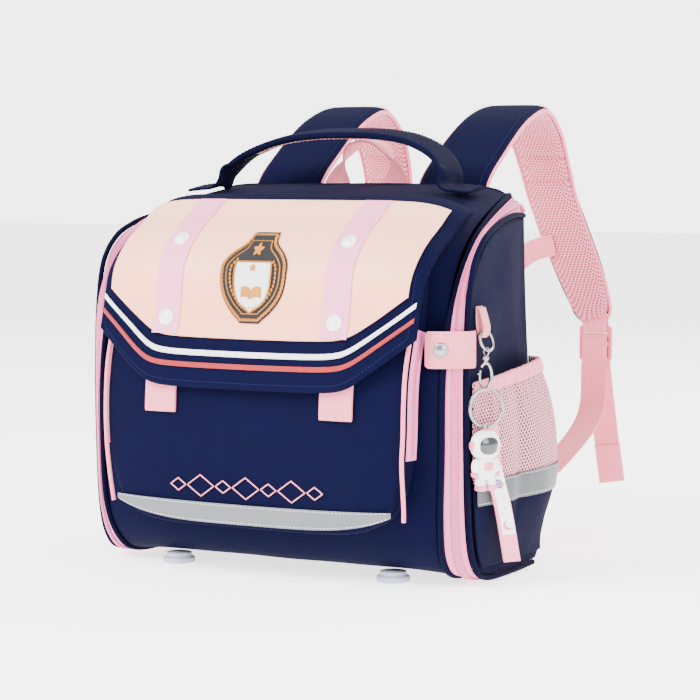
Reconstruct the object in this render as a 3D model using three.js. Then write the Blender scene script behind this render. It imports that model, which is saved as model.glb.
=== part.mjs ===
// A child's school ransel: a stiff satchel-shaped backpack with a wide flap, a front pocket,
// mesh side pockets, two padded shoulder straps and a key-ring charm on its side.
// Millimetres, +Z up, front towards -Y, standing on its four feet at z = 0.
// Inside this file y = 0 is the outer face of the back panel; the last lines centre the bag.
import * as THREE from "three";

// Driving dimensions
const BODY_DEPTH = 171; // back face to the front seam of the wrap
const BODY_HEIGHT = 326;
const FRONT_HALF_WIDTH = 165; // at the front seam
const SIDE_HALF_WIDTH = 180; // at the side seam, the widest part of the box
const BACK_TOP_HALF_WIDTH = 157;
const BACK_BOTTOM_HALF_WIDTH = 176;
const CROWN = 36; // most that the wrap stands above its own seams
const CLOTH = 3; // foam-backed cloth of the wrap, sides and pocket
const SIDE_CLOTH = 2;
const BACK_THICKNESS = 6;
const PIPING_RADIUS = 2.3;
const GAP = 0.3;
const COIL_RISE = 2.5; // the zip's closed coil over its tapes
const FOOT_RADIUS = 14;
const FOOT_INSET = 105.5;
const FOOT_FRONT_Y = -142;
const FOOT_REAR_Y = -26;

const POCKET_HALF_WIDTH = 143;
const POCKET_DEPTH = 24;
const POCKET_TOP = 230;
const POCKET_BOTTOM = 43;
const ZIP_END_Z = 107;
const REFLECTOR_HALF_WIDTH = 132;
const REFLECTOR_Z = 63;
const REFLECTOR_HEIGHT = 17;

const FLAP_HALF_WIDTH = 152;
const FLAP_THICKNESS = 5;
const FLAP_TOP_Y = -98;
const FLAP_BOTTOM_Z = 158.5;
const FLAP_KINK_X = 95; // half width of the flap's straight lower edge
const CORNER_ROUNDING = 12;
const FLAP_CHAMFER = 0.79; // rise per millimetre of the slanted corner
const PANEL_HALF_WIDTH = 142;
const PANEL_TOP_Y = -117;
const PANEL_BOTTOM_Z = 198;
const PANEL_THICKNESS = 1.2;
const STRIPE_WIDTH = 4;
const WHITE_STRIPE_Z = 186;
const RED_STRIPE_Z = 176.5;
const RIBBON_WIDTH = 25;
const RIBBON_X = 81;
const SNAP_RADIUS = 7;
const UPPER_SNAP_Z = 276;
const LOWER_SNAP_Z = 214;
const CREST_WIDTH = 64;
const CREST_HEIGHT = 71;
const CREST_Z = 247;

const WEBBING_WIDTH = 30;
const WEBBING_THICKNESS = 2;
const TAB_X = 84.5;
const TAB_BOTTOM_Z = 138;

const SIDE_POCKET_BULGE = 30;
const SIDE_POCKET_INSET = 7; // from the side seam to the pocket's front edge
const SIDE_POCKET_REAR_Y = -11;
const SIDE_POCKET_BOTTOM = 15;
const SIDE_POCKET_MOUTH_FRONT = 169;
const SIDE_POCKET_MOUTH_REAR = 181;
const MESH_THICKNESS = 2;
const SIDE_REFLECTOR_Z = 75;
const SIDE_REFLECTOR_HEIGHT = 20;

const HANDLE_WIDTH = 32;
const HANDLE_THICKNESS = 6;
const HANDLE_HALF_SPAN = 113;
const HANDLE_RISE = 51;
const HANDLE_Y = -58;
const HANDLE_LEAN = 30;
const LOOP_HALF_SPAN = 29;
const LOOP_TOP_Z = 364;

const STRAP_THICKNESS = 11;
const STRAP_WIDTH = 68;
const STRAP_REACH = 209; // how far the shoulder straps stand behind the back panel
const STRAP_X = 83;
const STRAP_PEAK_Z = 392;
const STRAP_END_Z = 200;
const STRAP_END_X = 130;
const STRAP_WEB_WIDTH = 25;
const CHEST_STRAP_Z = 246;

const HARDWARE_Z = 196; // height of the snap tab that carries the charm
const RING_RADIUS = 15.5;
const RING_WIRE = 1.3;
const D_RING_RADIUS = 8.5;
const CLASP_WIDTH = 14;
const CLASP_HEIGHT = 23;
const CLASP_BORE = 0.62;
const CLASP_STEM = 7;
const CHARM_HEIGHT = 50;
const TAG_LENGTH = 112;
const HANG_TURN = Math.PI / 6; // the charm faces between the side and the front

const BACK_SEAM = -(BACK_THICKNESS + GAP);

const V = (x, y, z) => new THREE.Vector3(x, y, z);
const { lerp, clamp, smoothstep } = THREE.MathUtils;
const span = (n) => Array.from({ length: n + 1 }, (_, i) => i / n);

// Colours and surface values
const look = (color, roughness = 0.8, metalness = 0) =>
  new THREE.MeshStandardMaterial({ color, roughness, metalness });
const LOOKS = {
  navy: look(0x1c204b, 0.75),
  navyTrim: look(0x181b40, 0.6),
  peach: look(0xffdccb, 0.45),
  ribbon: look(0xf6cfe4, 0.5),
  pink: look(0xffacb6, 0.8),
  zip: look(0xf0a0c8, 0.6),
  mesh: look(0xf7c3cc, 0.85),
  silverTape: look(0xa6abaf, 0.35),
  greyTape: look(0x6f7277, 0.35),
  red: look(0xcd5250, 0.6),
  white: look(0xf8f6f4, 0.35),
  gold: look(0xd8a83c, 0.45),
  black: look(0x15151c, 0.7),
  plastic: look(0xcfcfe0, 0.5),
  pinkPlastic: look(0xf78fa4, 0.4),
  steel: look(0xc9ccd2, 0.22, 1),
};

// A closed geometry from quads and triangles, turned so that its faces point out.
function solid(faces) {
  const tris = faces.flatMap((f) =>
    f.length === 4 ? [[f[0], f[1], f[2]], [f[0], f[2], f[3]]] : [f],
  );
  const cross = V(0, 0, 0);
  const volume = tris.reduce((sum, [a, b, c]) => sum + cross.crossVectors(b, c).dot(a), 0);
  const turned = volume < 0 ? tris.map(([a, b, c]) => [a, c, b]) : tris;
  const flat = turned.flat().flatMap((p) => [p.x, p.y, p.z]);
  const geometry = new THREE.BufferGeometry();
  geometry.setAttribute("position", new THREE.Float32BufferAttribute(flat, 3));
  geometry.computeVertexNormals();
  return geometry;
}

const quadsOf = (grid, flip = false) =>
  grid.slice(1).flatMap((row, i) =>
    row.slice(1).map((_, j) => {
      const q = [grid[i][j], grid[i + 1][j], grid[i + 1][j + 1], grid[i][j + 1]];
      return flip ? q.reverse() : q;
    }),
  );

// Faces that join two matching lines of points.
const strip = (a, b) => a.slice(1).map((_, i) => [a[i], b[i], b[i + 1], a[i + 1]]);

// The normal of a grid at each of its points: rows run down, columns run across.
function normalsOf(grid) {
  const last = grid.length - 1;
  const end = grid[0].length - 1;
  return grid.map((row, i) =>
    row.map((_, j) => {
      const down = V(0, 0, 0).subVectors(grid[Math.min(i + 1, last)][j], grid[Math.max(i - 1, 0)][j]);
      const across = V(0, 0, 0).subVectors(row[Math.min(j + 1, end)], row[Math.max(j - 1, 0)]);
      return down.cross(across).normalize();
    }),
  );
}

// A wall of cloth over a grid, from height low to height high along the grid's normals.
function wall(grid, low, high) {
  const normals = normalsOf(grid);
  const raise = (h) => grid.map((row, i) => row.map((p, j) => p.clone().addScaledVector(normals[i][j], h)));
  const outer = raise(high);
  const inner = raise(low);
  const side = (g, j) => g.map((row) => row.at(j));
  return solid([
    ...quadsOf(outer),
    ...quadsOf(inner, true),
    ...strip(inner[0], outer[0]),
    ...strip(outer.at(-1), inner.at(-1)),
    ...strip(side(outer, 0), side(inner, 0)),
    ...strip(side(inner, -1), side(outer, -1)),
  ]);
}

// A wall inside a closed border: matching rings from the border inwards, and the two centre points.
function disc(outer, outerCentre, inner, innerCentre) {
  const closed = (rings) => rings.map((r) => [...r, r[0]]);
  const [a, b] = [closed(outer), closed(inner)];
  return solid([
    ...quadsOf(a),
    ...quadsOf(b, true),
    ...strip(b[0], a[0]),
    ...a.at(-1).slice(1).map((p, i) => [p, a.at(-1)[i], outerCentre]),
    ...b.at(-1).slice(1).map((p, i) => [b.at(-1)[i], p, innerCentre]),
  ]);
}

// A body lofted through closed sections, with fans at its two ends, or joined into a ring.
function loft(sections, ring = false) {
  const closed = sections.map((s) => [...s, s[0]]);
  const faces = quadsOf(ring ? [...closed, closed[0]] : closed);
  if (!ring) {
    const fan = (s, flip) => {
      const middle = s.reduce((sum, p) => sum.add(p), V(0, 0, 0)).divideScalar(s.length);
      return s.map((p, i) => {
        const q = s[(i + 1) % s.length];
        return flip ? [middle, q, p] : [middle, p, q];
      });
    };
    faces.push(...fan(sections[0], false), ...fan(sections.at(-1), true));
  }
  return solid(faces);
}

// A section carried along a path: side(t) is the direction of the section's first coordinate.
function sweep(path, steps, side, section, ring = false) {
  const shares = ring ? span(steps).slice(0, -1) : span(steps);
  return loft(
    shares.map((t) => {
      const step = 1e-3;
      const a = path(ring ? (t - step + 1) % 1 : Math.max(t - step, 0));
      const b = path(ring ? (t + step) % 1 : Math.min(t + step, 1));
      const tangent = b.sub(a).normalize();
      const s = side(t);
      s.addScaledVector(tangent, -s.dot(tangent)).normalize();
      const up = V(0, 0, 0).crossVectors(tangent, s);
      const p = path(t);
      return section(t).map(([u, v]) => p.clone().addScaledVector(s, u).addScaledVector(up, v));
    }),
    ring,
  );
}

const round = (radius, sides) => () =>
  span(sides).slice(0, -1).map((a) => [
    radius * Math.cos(a * 2 * Math.PI),
    radius * Math.sin(a * 2 * Math.PI),
  ]);

// A flat band's section with rounded edges: eight corners of a width and a thickness.
function band(width, thickness, share = 0.3) {
  const [w, t, e] = [width / 2, thickness / 2, thickness * share];
  return [[-w, -t + e], [-w + e, -t], [w - e, -t], [w, -t + e], [w, t - e], [w - e, t], [-w + e, t], [-w, t - e]];
}

const web = (width, thickness = WEBBING_THICKNESS) => {
  const [w, t] = [width / 2, thickness / 2];
  return () => [[-w, -t], [w, -t], [w, t], [-w, t]];
};

// A smooth line through points, read by its length, or by its points where some lie close together.
function curve(points, byPoints = false) {
  const line = new THREE.CatmullRomCurve3(points.map((p) => V(...p)), false, "centripetal");
  return (t) => (byPoints ? line.getPoint(clamp(t, 0, 1)) : line.getPointAt(clamp(t, 0, 1)));
}

// A named column of a table read at share t of its rows, as a smooth curve.
function read(table, name, t) {
  const k = clamp(t, 0, 1) * (table.length - 1);
  const i = Math.min(Math.floor(k), table.length - 2);
  const f = k - i;
  const at = (j) => table[clamp(j, 0, table.length - 1)][name];
  const [a, b, c, d] = [at(i - 1), at(i), at(i + 1), at(i + 2)];
  return b + 0.5 * f * (c - a + f * (2 * a - 5 * b + 4 * c - d + f * (3 * (b - c) + d - a)));
}

// The value of t in low..high at which a falling function meets a target.
function meet(fall, target, low = 0, high = 1) {
  for (let i = 0; i < 32; i++) {
    const middle = (low + high) / 2;
    if (fall(middle) > target) low = middle;
    else high = middle;
  }
  return low;
}

function mirrored(geometry) {
  const p = (geometry.index ? geometry.toNonIndexed() : geometry).getAttribute("position");
  const at = (i) => V(-p.getX(i), p.getY(i), p.getZ(i));
  return solid(Array.from({ length: p.count / 3 }, (_, i) => [at(3 * i), at(3 * i + 1), at(3 * i + 2)]));
}

const bag = new THREE.Group();

function add(name, geometry, material) {
  const mesh = new THREE.Mesh(geometry, LOOKS[material]);
  mesh.name = name;
  bag.add(mesh);
}

function addPair(name, geometry, material) {
  add(name + "_right", geometry, material);
  add(name + "_left", mirrored(geometry), material);
}

// The two seams that run round the box, from the top back edge over the front and under the bottom.
// front and side are depths and heights as shares of BODY_DEPTH and BODY_HEIGHT, wide is the front
// seam's share of FRONT_HALF_WIDTH, and crown is the share of CROWN at that station.
const SEAMS = [
  { frontY: 0.0, frontZ: 0.98, wide: 0.873, sideY: 0.0, sideZ: 0.92, crown: 0.25 },
  { frontY: 0.263, frontZ: 0.948, wide: 0.93, sideY: 0.263, sideZ: 0.925, crown: 0.38 },
  { frontY: 0.48, frontZ: 0.906, wide: 0.962, sideY: 0.48, sideZ: 0.912, crown: 0.58 },
  { frontY: 0.62, frontZ: 0.868, wide: 0.978, sideY: 0.63, sideZ: 0.891, crown: 0.72 },
  { frontY: 0.76, frontZ: 0.802, wide: 0.988, sideY: 0.75, sideZ: 0.86, crown: 0.7 },
  { frontY: 0.865, frontZ: 0.728, wide: 0.994, sideY: 0.85, sideZ: 0.8, crown: 0.36 },
  { frontY: 0.95, frontZ: 0.645, wide: 1.0, sideY: 0.895, sideZ: 0.705, crown: -0.06 },
  { frontY: 0.995, frontZ: 0.516, wide: 1.0, sideY: 0.915, sideZ: 0.547, crown: 0.1 },
  { frontY: 1.0, frontZ: 0.344, wide: 1.0, sideY: 0.912, sideZ: 0.344, crown: 0.16 },
  { frontY: 0.988, frontZ: 0.165, wide: 0.988, sideY: 0.888, sideZ: 0.15, crown: 0.12 },
  { frontY: 0.912, frontZ: 0.066, wide: 0.966, sideY: 0.825, sideZ: 0.055, crown: 0.05 },
  { frontY: 0.76, frontZ: 0.022, wide: 0.954, sideY: 0.7, sideZ: 0.018, crown: -0.06 },
  { frontY: 0.42, frontZ: 0.018, wide: 0.948, sideY: 0.39, sideZ: 0.014, crown: -0.11 },
  { frontY: 0.0, frontZ: 0.021, wide: 0.942, sideY: 0.1, sideZ: 0.018, crown: -0.08 },
];

const behind = (y) => Math.min(y, BACK_SEAM);

function frontSeam(s) {
  return V(
    read(SEAMS, "wide", s) * FRONT_HALF_WIDTH,
    behind(-read(SEAMS, "frontY", s) * BODY_DEPTH),
    read(SEAMS, "frontZ", s) * BODY_HEIGHT,
  );
}

// The side face: x of the box at a depth y and a height z.
function backHalfWidth(z) {
  const down = clamp(1 - z / (0.92 * BODY_HEIGHT), 0, 1);
  return lerp(BACK_TOP_HALF_WIDTH, BACK_BOTTOM_HALF_WIDTH, down ** 1.6);
}

function sideFace(y, z) {
  const forward = clamp(-y / (0.915 * BODY_DEPTH), 0, 1);
  return lerp(backHalfWidth(z), SIDE_HALF_WIDTH, 1 - (1 - forward) ** 2);
}

function sideSeam(s) {
  const y = behind(-read(SEAMS, "sideY", s) * BODY_DEPTH);
  const z = read(SEAMS, "sideZ", s) * BODY_HEIGHT;
  return V(sideFace(y, z), y, z);
}

// The direction that leads straight out of the wrap at a station, in the plane x = 0.
function outward(s) {
  const step = 0.01;
  const a = frontSeam(Math.max(s - step, 0));
  const b = frontSeam(Math.min(s + step, 1));
  const flat = V(0, b.y - a.y, b.z - a.z).normalize();
  return V(0, flat.z, -flat.y);
}

// A point over the wrap: x across, station s, lift along the outward direction.
function overWrap(x, s, lift = 0) {
  const seam = frontSeam(s);
  const crown = read(SEAMS, "crown", s) * CROWN * (1 - Math.min(Math.abs(x / seam.x), 1) ** 9);
  return V(x, seam.y, seam.z).addScaledVector(outward(s), crown + lift);
}

const SEAM_STEPS = 26;
const WRAP_COLUMNS = [-1, -0.94, -0.84, -0.6, 0, 0.6, 0.84, 0.94, 1];
const SEAM_CLEARANCE = PIPING_RADIUS + GAP + 0.2;

function makeBody() {
  const wrapRow = (s) => WRAP_COLUMNS.map((u) => overWrap(u * (frontSeam(s).x - SEAM_CLEARANCE), s));
  add("body_wrap", wall(span(SEAM_STEPS).map(wrapRow), -CLOTH, 0), "navy");

  // The band runs clear of both pipings, however steeply its own lines cross the seams.
  const bandRow = (s) => {
    const a = frontSeam(s);
    const b = sideSeam(s);
    const across = b.clone().sub(a);
    const inset = (seam) => {
      const along = seam(Math.min(s + 0.01, 1)).sub(seam(Math.max(s - 0.01, 0))).normalize();
      return SEAM_CLEARANCE / V(0, 0, 0).crossVectors(along, across).length();
    };
    const out = V(1, 0, 0).add(outward(s)).normalize();
    const [from, to] = [inset(frontSeam), 1 - inset(sideSeam)];
    return [0, 0.5, 1].map((w) =>
      a.clone().addScaledVector(across, lerp(from, to, w)).addScaledVector(out, w === 0.5 ? COIL_RISE : 0));
  };
  addPair("zip_band", wall(span(SEAM_STEPS).map(bandRow), -2, 0), "zip");

  const tube = round(PIPING_RADIUS, 5);
  const between = (seam) => (t) => seam(lerp(0.02, 0.985, t));
  addPair("piping_front", sweep(between(frontSeam), 22, () => V(1, 0, 0), tube), "navyTrim");
  addPair("piping_side", sweep(between(sideSeam), 22, () => V(1, 0, 0), tube), "navyTrim");

  const seamLine = span(22).map((t) => {
    const [p, before, after] = [t, Math.max(t - 0.03, 0), Math.min(t + 0.03, 1)].map(sideSeam);
    const fold = 1 + 1.1 * Math.exp(-(((t - 0.33) / 0.1) ** 2));
    const inward = V(0, after.z - before.z, before.y - after.y).setLength(-SEAM_CLEARANCE * fold);
    return [behind(p.y + inward.y), p.z + inward.z];
  });
  const [[, high], [, low]] = [seamLine[0], seamLine.at(-1)];
  const backLine = span(6).slice(1, -1).map((t) => [BACK_SEAM, lerp(low, high, t)]);
  const outline = [...seamLine, ...backLine];
  const centre = [-0.42 * BODY_DEPTH, 0.48 * BODY_HEIGHT];
  const place = (y, z, depth) => V(sideFace(y, z) - depth, y, z);
  const ring = (scale, depth) =>
    outline.map(([y, z]) => place(lerp(centre[0], y, scale), lerp(centre[1], z, scale), depth));
  const side = disc([1, 0.6].map((k) => ring(k, 0)), place(...centre, 0), [1, 0.6].map((k) => ring(k, SIDE_CLOTH)),
    place(...centre, SIDE_CLOTH));
  addPair("side_panel", side, "navy");

  add("back_panel", backSlab(1, 0, BACK_THICKNESS, 0), "navy");
  add("back_pad", backSlab(0.72, 24, 7, GAP + 7), "mesh");
}

// A slab in the plane of the back: the box's own outline, scaled about its middle.
function backSlab(scale, lowered, thickness, y) {
  const half = [];
  span(6).slice(1).forEach((u) => {
    const top = overWrap(u * frontSeam(0).x, 0);
    half.push([top.x, top.z]);
  });
  span(6).forEach((t) => {
    const z = lerp(sideSeam(0).z, 0.1 * BODY_HEIGHT, t);
    half.push([backHalfWidth(z), z]);
  });
  const low = sideSeam(1);
  half.push([low.x - 2, 0.045 * BODY_HEIGHT], [frontSeam(1).x, low.z]);
  const loop = [...half, ...half.map(([x, z]) => [-x, z]).reverse()];
  const middle = BODY_HEIGHT / 2;
  const shape = new THREE.Shape(
    loop.map(([x, z]) => new THREE.Vector2(x * scale, middle + (z - middle) * scale - lowered / 2)),
  );
  const slab = new THREE.ExtrudeGeometry(shape, { depth: thickness, bevelEnabled: false });
  return slab.rotateX(Math.PI / 2).translate(0, y, 0);
}

// The pocket's front face stands this far over the wrap, less towards its sides.
const pocketLift = (x) => POCKET_DEPTH - 5 * Math.abs(x / POCKET_HALF_WIDTH) ** 6;

function stationAt(z, x = 0, lift = 0) {
  return meet((s) => overWrap(x, s, typeof lift === "function" ? lift(x, s) : lift).z, z, 0.12, 0.86);
}

const pocketHalfWidth = (z) =>
  POCKET_HALF_WIDTH - 9 * smoothstep(0.42 * BODY_HEIGHT - z, 0, 0.4 * BODY_HEIGHT);

// A rounded rectangle's border in -1..1, starting at the middle of its top.
function roundedSquare(count, corner) {
  return span(count).slice(0, -1).map((t) => {
    const a = t * 2 * Math.PI;
    const [c, s] = [Math.cos(a), Math.sin(a)];
    const squared = (v) => Math.sign(v) * Math.abs(v) ** corner;
    return [squared(s), squared(c)];
  });
}

function makePocket() {
  const top = stationAt(POCKET_TOP, 0, POCKET_DEPTH);
  const bottom = stationAt(POCKET_BOTTOM, 0, POCKET_DEPTH);
  const middle = (top + bottom) / 2;
  const reach = (bottom - top) / 2;
  const border = roundedSquare(36, 0.32);
  const ring = (scale, height, inset) =>
    border.map(([a, b]) => {
      const s = middle - b * reach * scale;
      const half = pocketHalfWidth(overWrap(0, s, POCKET_DEPTH).z) * scale;
      const x = a * Math.min(half, FRONT_HALF_WIDTH - 12);
      const lift = pocketLift(x) * height + (height > 0.5 ? -inset : 2.1);
      return overWrap(x, s, lift);
    });
  const outer = [ring(1.02, 0, 0), ring(1.008, 0.72, 0), ring(1, 1, 0), ring(0.72, 1, 0)];
  const inner = [ring(1.004, 0, 0), ring(0.985, 0.6, 0), ring(0.975, 1, CLOTH), ring(0.72, 1, CLOTH)];
  const face = (inset) => overWrap(0, middle, POCKET_DEPTH - inset);
  add("pocket", disc(outer, face(0), inner, face(CLOTH)), "navy");

  const edge = (t) => {
    const s = lerp(lerp(top, bottom, 0.06), lerp(top, bottom, 0.93), t);
    const x = pocketHalfWidth(overWrap(0, s, POCKET_DEPTH).z);
    const corner = smoothstep(t, 0.7, 1);
    return overWrap(x + 3 * corner + 0.6, s, pocketLift(x) * (1 - 0.3 * corner) + 2.6);
  };
  addPair("pocket_piping", sweep(edge, 16, () => V(1, 0, 0), round(1.7, 5)), "pink");

  const zipLow = stationAt(ZIP_END_Z, 0, POCKET_DEPTH);
  const zipRow = (t) => {
    const s = lerp(lerp(top, bottom, 0.1), zipLow, t);
    const x = pocketHalfWidth(overWrap(0, s, POCKET_DEPTH).z);
    return [1, 0.5, 0.12].map((h) =>
      overWrap(x + lerp(3.2, 0.9, h), s, pocketLift(x) * h * 0.78 + 1.2));
  };
  addPair("pocket_zip", wall(span(10).map(zipRow), GAP, GAP + 1.4), "zip");

  const faceLift = (x) => pocketLift(x) + GAP;
  const reflectorRow = (share) =>
    span(14).map((t) => {
      const half = Math.min(REFLECTOR_HALF_WIDTH, pocketHalfWidth(REFLECTOR_Z) - 3);
      const x = lerp(-half, half, t);
      const high = REFLECTOR_Z + 2 * (x / half) ** 2;
      const low = REFLECTOR_Z - REFLECTOR_HEIGHT * (1 - 0.85 * (x / half) ** 4);
      return overWrap(x, stationAt(lerp(high, low, share), x, POCKET_DEPTH), faceLift(x));
    });
  add("reflector_front", wall([0, 0.5, 1].map(reflectorRow), 0.3, 1.1), "silverTape");

  const tabRow = (s) =>
    [-0.5, 0, 0.5].map((w) => {
      const x = TAB_X + w * WEBBING_WIDTH;
      return overWrap(x, s, faceLift(x));
    });
  const tabTop = stationAt(FLAP_BOTTOM_Z + 26, TAB_X, POCKET_DEPTH);
  const tabEnd = stationAt(TAB_BOTTOM_Z, TAB_X, POCKET_DEPTH);
  addPair("pull_tab", wall(span(5).map((t) => tabRow(lerp(tabTop, tabEnd, t))), 0.2, 2.2), "pink");
}

// The flap lies on the top panel and then on the pocket.
const RAMP = [0.25, 0.42];
function flapLift(x, s) {
  const edge = 5 * Math.abs(x / FLAP_HALF_WIDTH) ** 6;
  return 1.4 + smoothstep(s, ...RAMP) * (POCKET_DEPTH + 3.4 - edge);
}

// The station of the lower border of the flap or of a stripe at x.
function flapBorder(z, x, kink = FLAP_KINK_X) {
  const past = Math.abs(x) - kink;
  const rise = (FLAP_CHAMFER * (past + Math.hypot(past, CORNER_ROUNDING))) / 2;
  return stationAt(z + rise, x, flapLift);
}

const stationAtY = (y, x = 0) => meet((s) => overWrap(x, s, flapLift(x, s)).y, y, 0, 0.5);

function flapGrid(columns, topY, bottomZ, rows, kink) {
  const top = stationAtY(topY);
  return span(rows).map((v) =>
    columns.map((x) => {
      const s = lerp(top, flapBorder(bottomZ, x, kink), v);
      return overWrap(x, s, flapLift(x, s));
    }),
  );
}

const bothSides = (half) => [...half.slice(half[0] === 0 ? 1 : 0).map((x) => -x).reverse(), ...half];

// The crest's outline from its crown to its lower point, as shares of CREST_WIDTH.
const CREST = [
  { wide: 0.36 }, { wide: 0.46 }, { wide: 0.78 }, { wide: 0.97 }, { wide: 1.0 },
  { wide: 0.99 }, { wide: 0.93 }, { wide: 0.8 }, { wide: 0.58 }, { wide: 0.3 },
];

function makeFlap() {
  const kinks = [0, 48, FLAP_KINK_X, 112, 130, 144, FLAP_HALF_WIDTH];
  add("flap", wall(flapGrid(bothSides(kinks), FLAP_TOP_Y, FLAP_BOTTOM_Z, 14), 0, FLAP_THICKNESS), "navy");

  const panelKinks = [0, 48, FLAP_KINK_X - 2, 112, 130, PANEL_HALF_WIDTH];
  const panel = flapGrid(bothSides(panelKinks), PANEL_TOP_Y, PANEL_BOTTOM_Z, 11, FLAP_KINK_X - 2);
  const onFlap = FLAP_THICKNESS + GAP + 0.8;
  add("flap_panel", wall(panel, onFlap, onFlap + PANEL_THICKNESS), "peach");

  const stripe = (z, kink) => {
    const columns = bothSides(kinks.map((x) => Math.min(x, FLAP_HALF_WIDTH - 3)));
    return [0.5, -0.5].map((w) =>
      columns.map((x) => {
        const s = flapBorder(z + w * STRIPE_WIDTH, x, kink);
        return overWrap(x, s, flapLift(x, s));
      }),
    );
  };
  add("flap_stripe_white", wall(stripe(WHITE_STRIPE_Z, FLAP_KINK_X - 2), onFlap, onFlap + 0.8), "white");
  add("flap_stripe_red", wall(stripe(RED_STRIPE_Z, FLAP_KINK_X + 1), onFlap, onFlap + 0.8), "red");

  const ribbonTop = stationAtY(PANEL_TOP_Y - 1.5, RIBBON_X);
  const ribbonEnd = flapBorder(PANEL_BOTTOM_Z + 1, RIBBON_X);
  const ribbonAt = (v, w) => {
    const x = RIBBON_X + w * RIBBON_WIDTH;
    const s = lerp(ribbonTop, ribbonEnd, v);
    return overWrap(x, s, flapLift(x, s));
  };
  const onPanel = onFlap + PANEL_THICKNESS + 2 * GAP;
  const ribbon = span(12).map((v) => [-0.5, 0, 0.5].map((w) => ribbonAt(v, w)));
  addPair("flap_strap", wall(ribbon, onPanel, onPanel + 1), "ribbon");

  const domed = [[0, 0], [1, 0], [1, 0.35], [0.72, 0.85], [0, 1]];
  [["upper", UPPER_SNAP_Z], ["lower", LOWER_SNAP_Z]].forEach(([name, z]) => {
    const cap = dome(domed, SNAP_RADIUS, 3, 10);
    addPair("snap_cap_" + name, seated(cap, RIBBON_X, z, onPanel + 1 + GAP + 0.15), "white");
  });

  const crestWall = (scale, low, thick) => {
    const rows = span(10).map((t) => {
      const z = CREST_Z + CREST_HEIGHT * scale * (0.5 - t);
      const half = 0.5 * CREST_WIDTH * scale * read(CREST, "wide", t);
      return [-1, -0.5, 0, 0.5, 1].map((w) => {
        const s = stationAt(z, w * half, flapLift);
        return overWrap(w * half, s, flapLift(w * half, s));
      });
    });
    return wall(rows, low, low + thick);
  };
  const onFace = onFlap + PANEL_THICKNESS + GAP + 0.1;
  add("crest_patch", crestWall(1, onFace, 1.8), "black");
  add("crest_emblem", crestWall(0.8, onFace + 1.8 + GAP + 0.2, 1), "gold");
}

// A turned button: a profile in shares of a radius and a height, rising along +Z.
function dome(profile, radius, height, sides) {
  const points = profile.map(([r, h]) => new THREE.Vector2(r * radius, h * height));
  return new THREE.LatheGeometry(points, sides).rotateX(Math.PI / 2);
}

// Places a piece modelled flat in XY, facing +Z, on the flap at x and z.
function seated(geometry, x, z, height) {
  const s = stationAt(z, x, flapLift);
  const [above, below] = [0.025, -0.025].map((d) => overWrap(x, s - d, flapLift(x, s - d)));
  const [right, left] = [2, -2].map((d) => overWrap(x + d, s, flapLift(x + d, s)));
  const up = above.sub(below).normalize();
  const across = right.sub(left).normalize();
  const out = V(0, 0, 0).crossVectors(across, up).normalize();
  const across2 = V(0, 0, 0).crossVectors(up, out);
  const place = new THREE.Matrix4().makeBasis(across2, up, out);
  const spot = overWrap(x, s, flapLift(x, s)).addScaledVector(out, height);
  return geometry.applyMatrix4(place.setPosition(spot));
}

// How far the mesh pocket stands off the side, by height from its bottom to its mouth.
const POCKET_SWELL = [
  { out: 0.0 }, { out: 0.36 }, { out: 0.8 }, { out: 1.0 }, { out: 0.98 }, { out: 0.78 }, { out: 0.42 },
];

function sidePocketPoint(a, b, lift = 0) {
  const mouth = lerp(SIDE_POCKET_MOUTH_FRONT, SIDE_POCKET_MOUTH_REAR, a);
  const z = lerp(SIDE_POCKET_BOTTOM, mouth, b);
  const front = sideSeam(meet((s) => sideSeam(s).z, z, 0.35, 0.85)).y + SIDE_POCKET_INSET;
  const y = lerp(front, SIDE_POCKET_REAR_Y, a);
  const round20 = Math.sqrt(Math.max(0, 1 - a ** 20));
  const pleat = 1 - 0.16 * Math.exp(-(((a - 0.46) / 0.06) ** 2));
  const swell = SIDE_POCKET_BULGE * a ** 0.85 * round20 * pleat * read(POCKET_SWELL, "out", b);
  return V(sideFace(y, z) + 1 + swell + lift, y, z);
}

const POCKET_COLUMNS = [0, 0.16, 0.37, 0.46, 0.55, 0.76, 0.92, 0.98, 1];

function makeSidePockets() {
  const grid = span(7).map((t) => POCKET_COLUMNS.map((a) => sidePocketPoint(a, 1 - t)));
  addPair("side_pocket", wall(grid, 0, MESH_THICKNESS), "mesh");

  const trim = (columns, rows) => rows.map((b) => columns.map((a) => sidePocketPoint(a, b)));
  const inner = POCKET_COLUMNS.slice(1, -2);
  const height = SIDE_POCKET_MOUTH_FRONT - SIDE_POCKET_BOTTOM;
  const share = (z) => (z - SIDE_POCKET_BOTTOM) / height;
  const high = share(SIDE_REFLECTOR_Z + SIDE_REFLECTOR_HEIGHT / 2);
  const low = share(SIDE_REFLECTOR_Z - SIDE_REFLECTOR_HEIGHT / 2);
  const rest = MESH_THICKNESS + GAP + 0.7;
  const tape = trim(inner, [high, (high + low) / 2, low]);
  addPair("side_reflector", wall(tape, rest, rest + 0.8), "greyTape");
  const binding = trim(inner, [0.995, 0.97, 0.94]);
  addPair("side_pocket_binding", wall(binding, rest, rest + 1.6), "pink");
}

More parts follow.
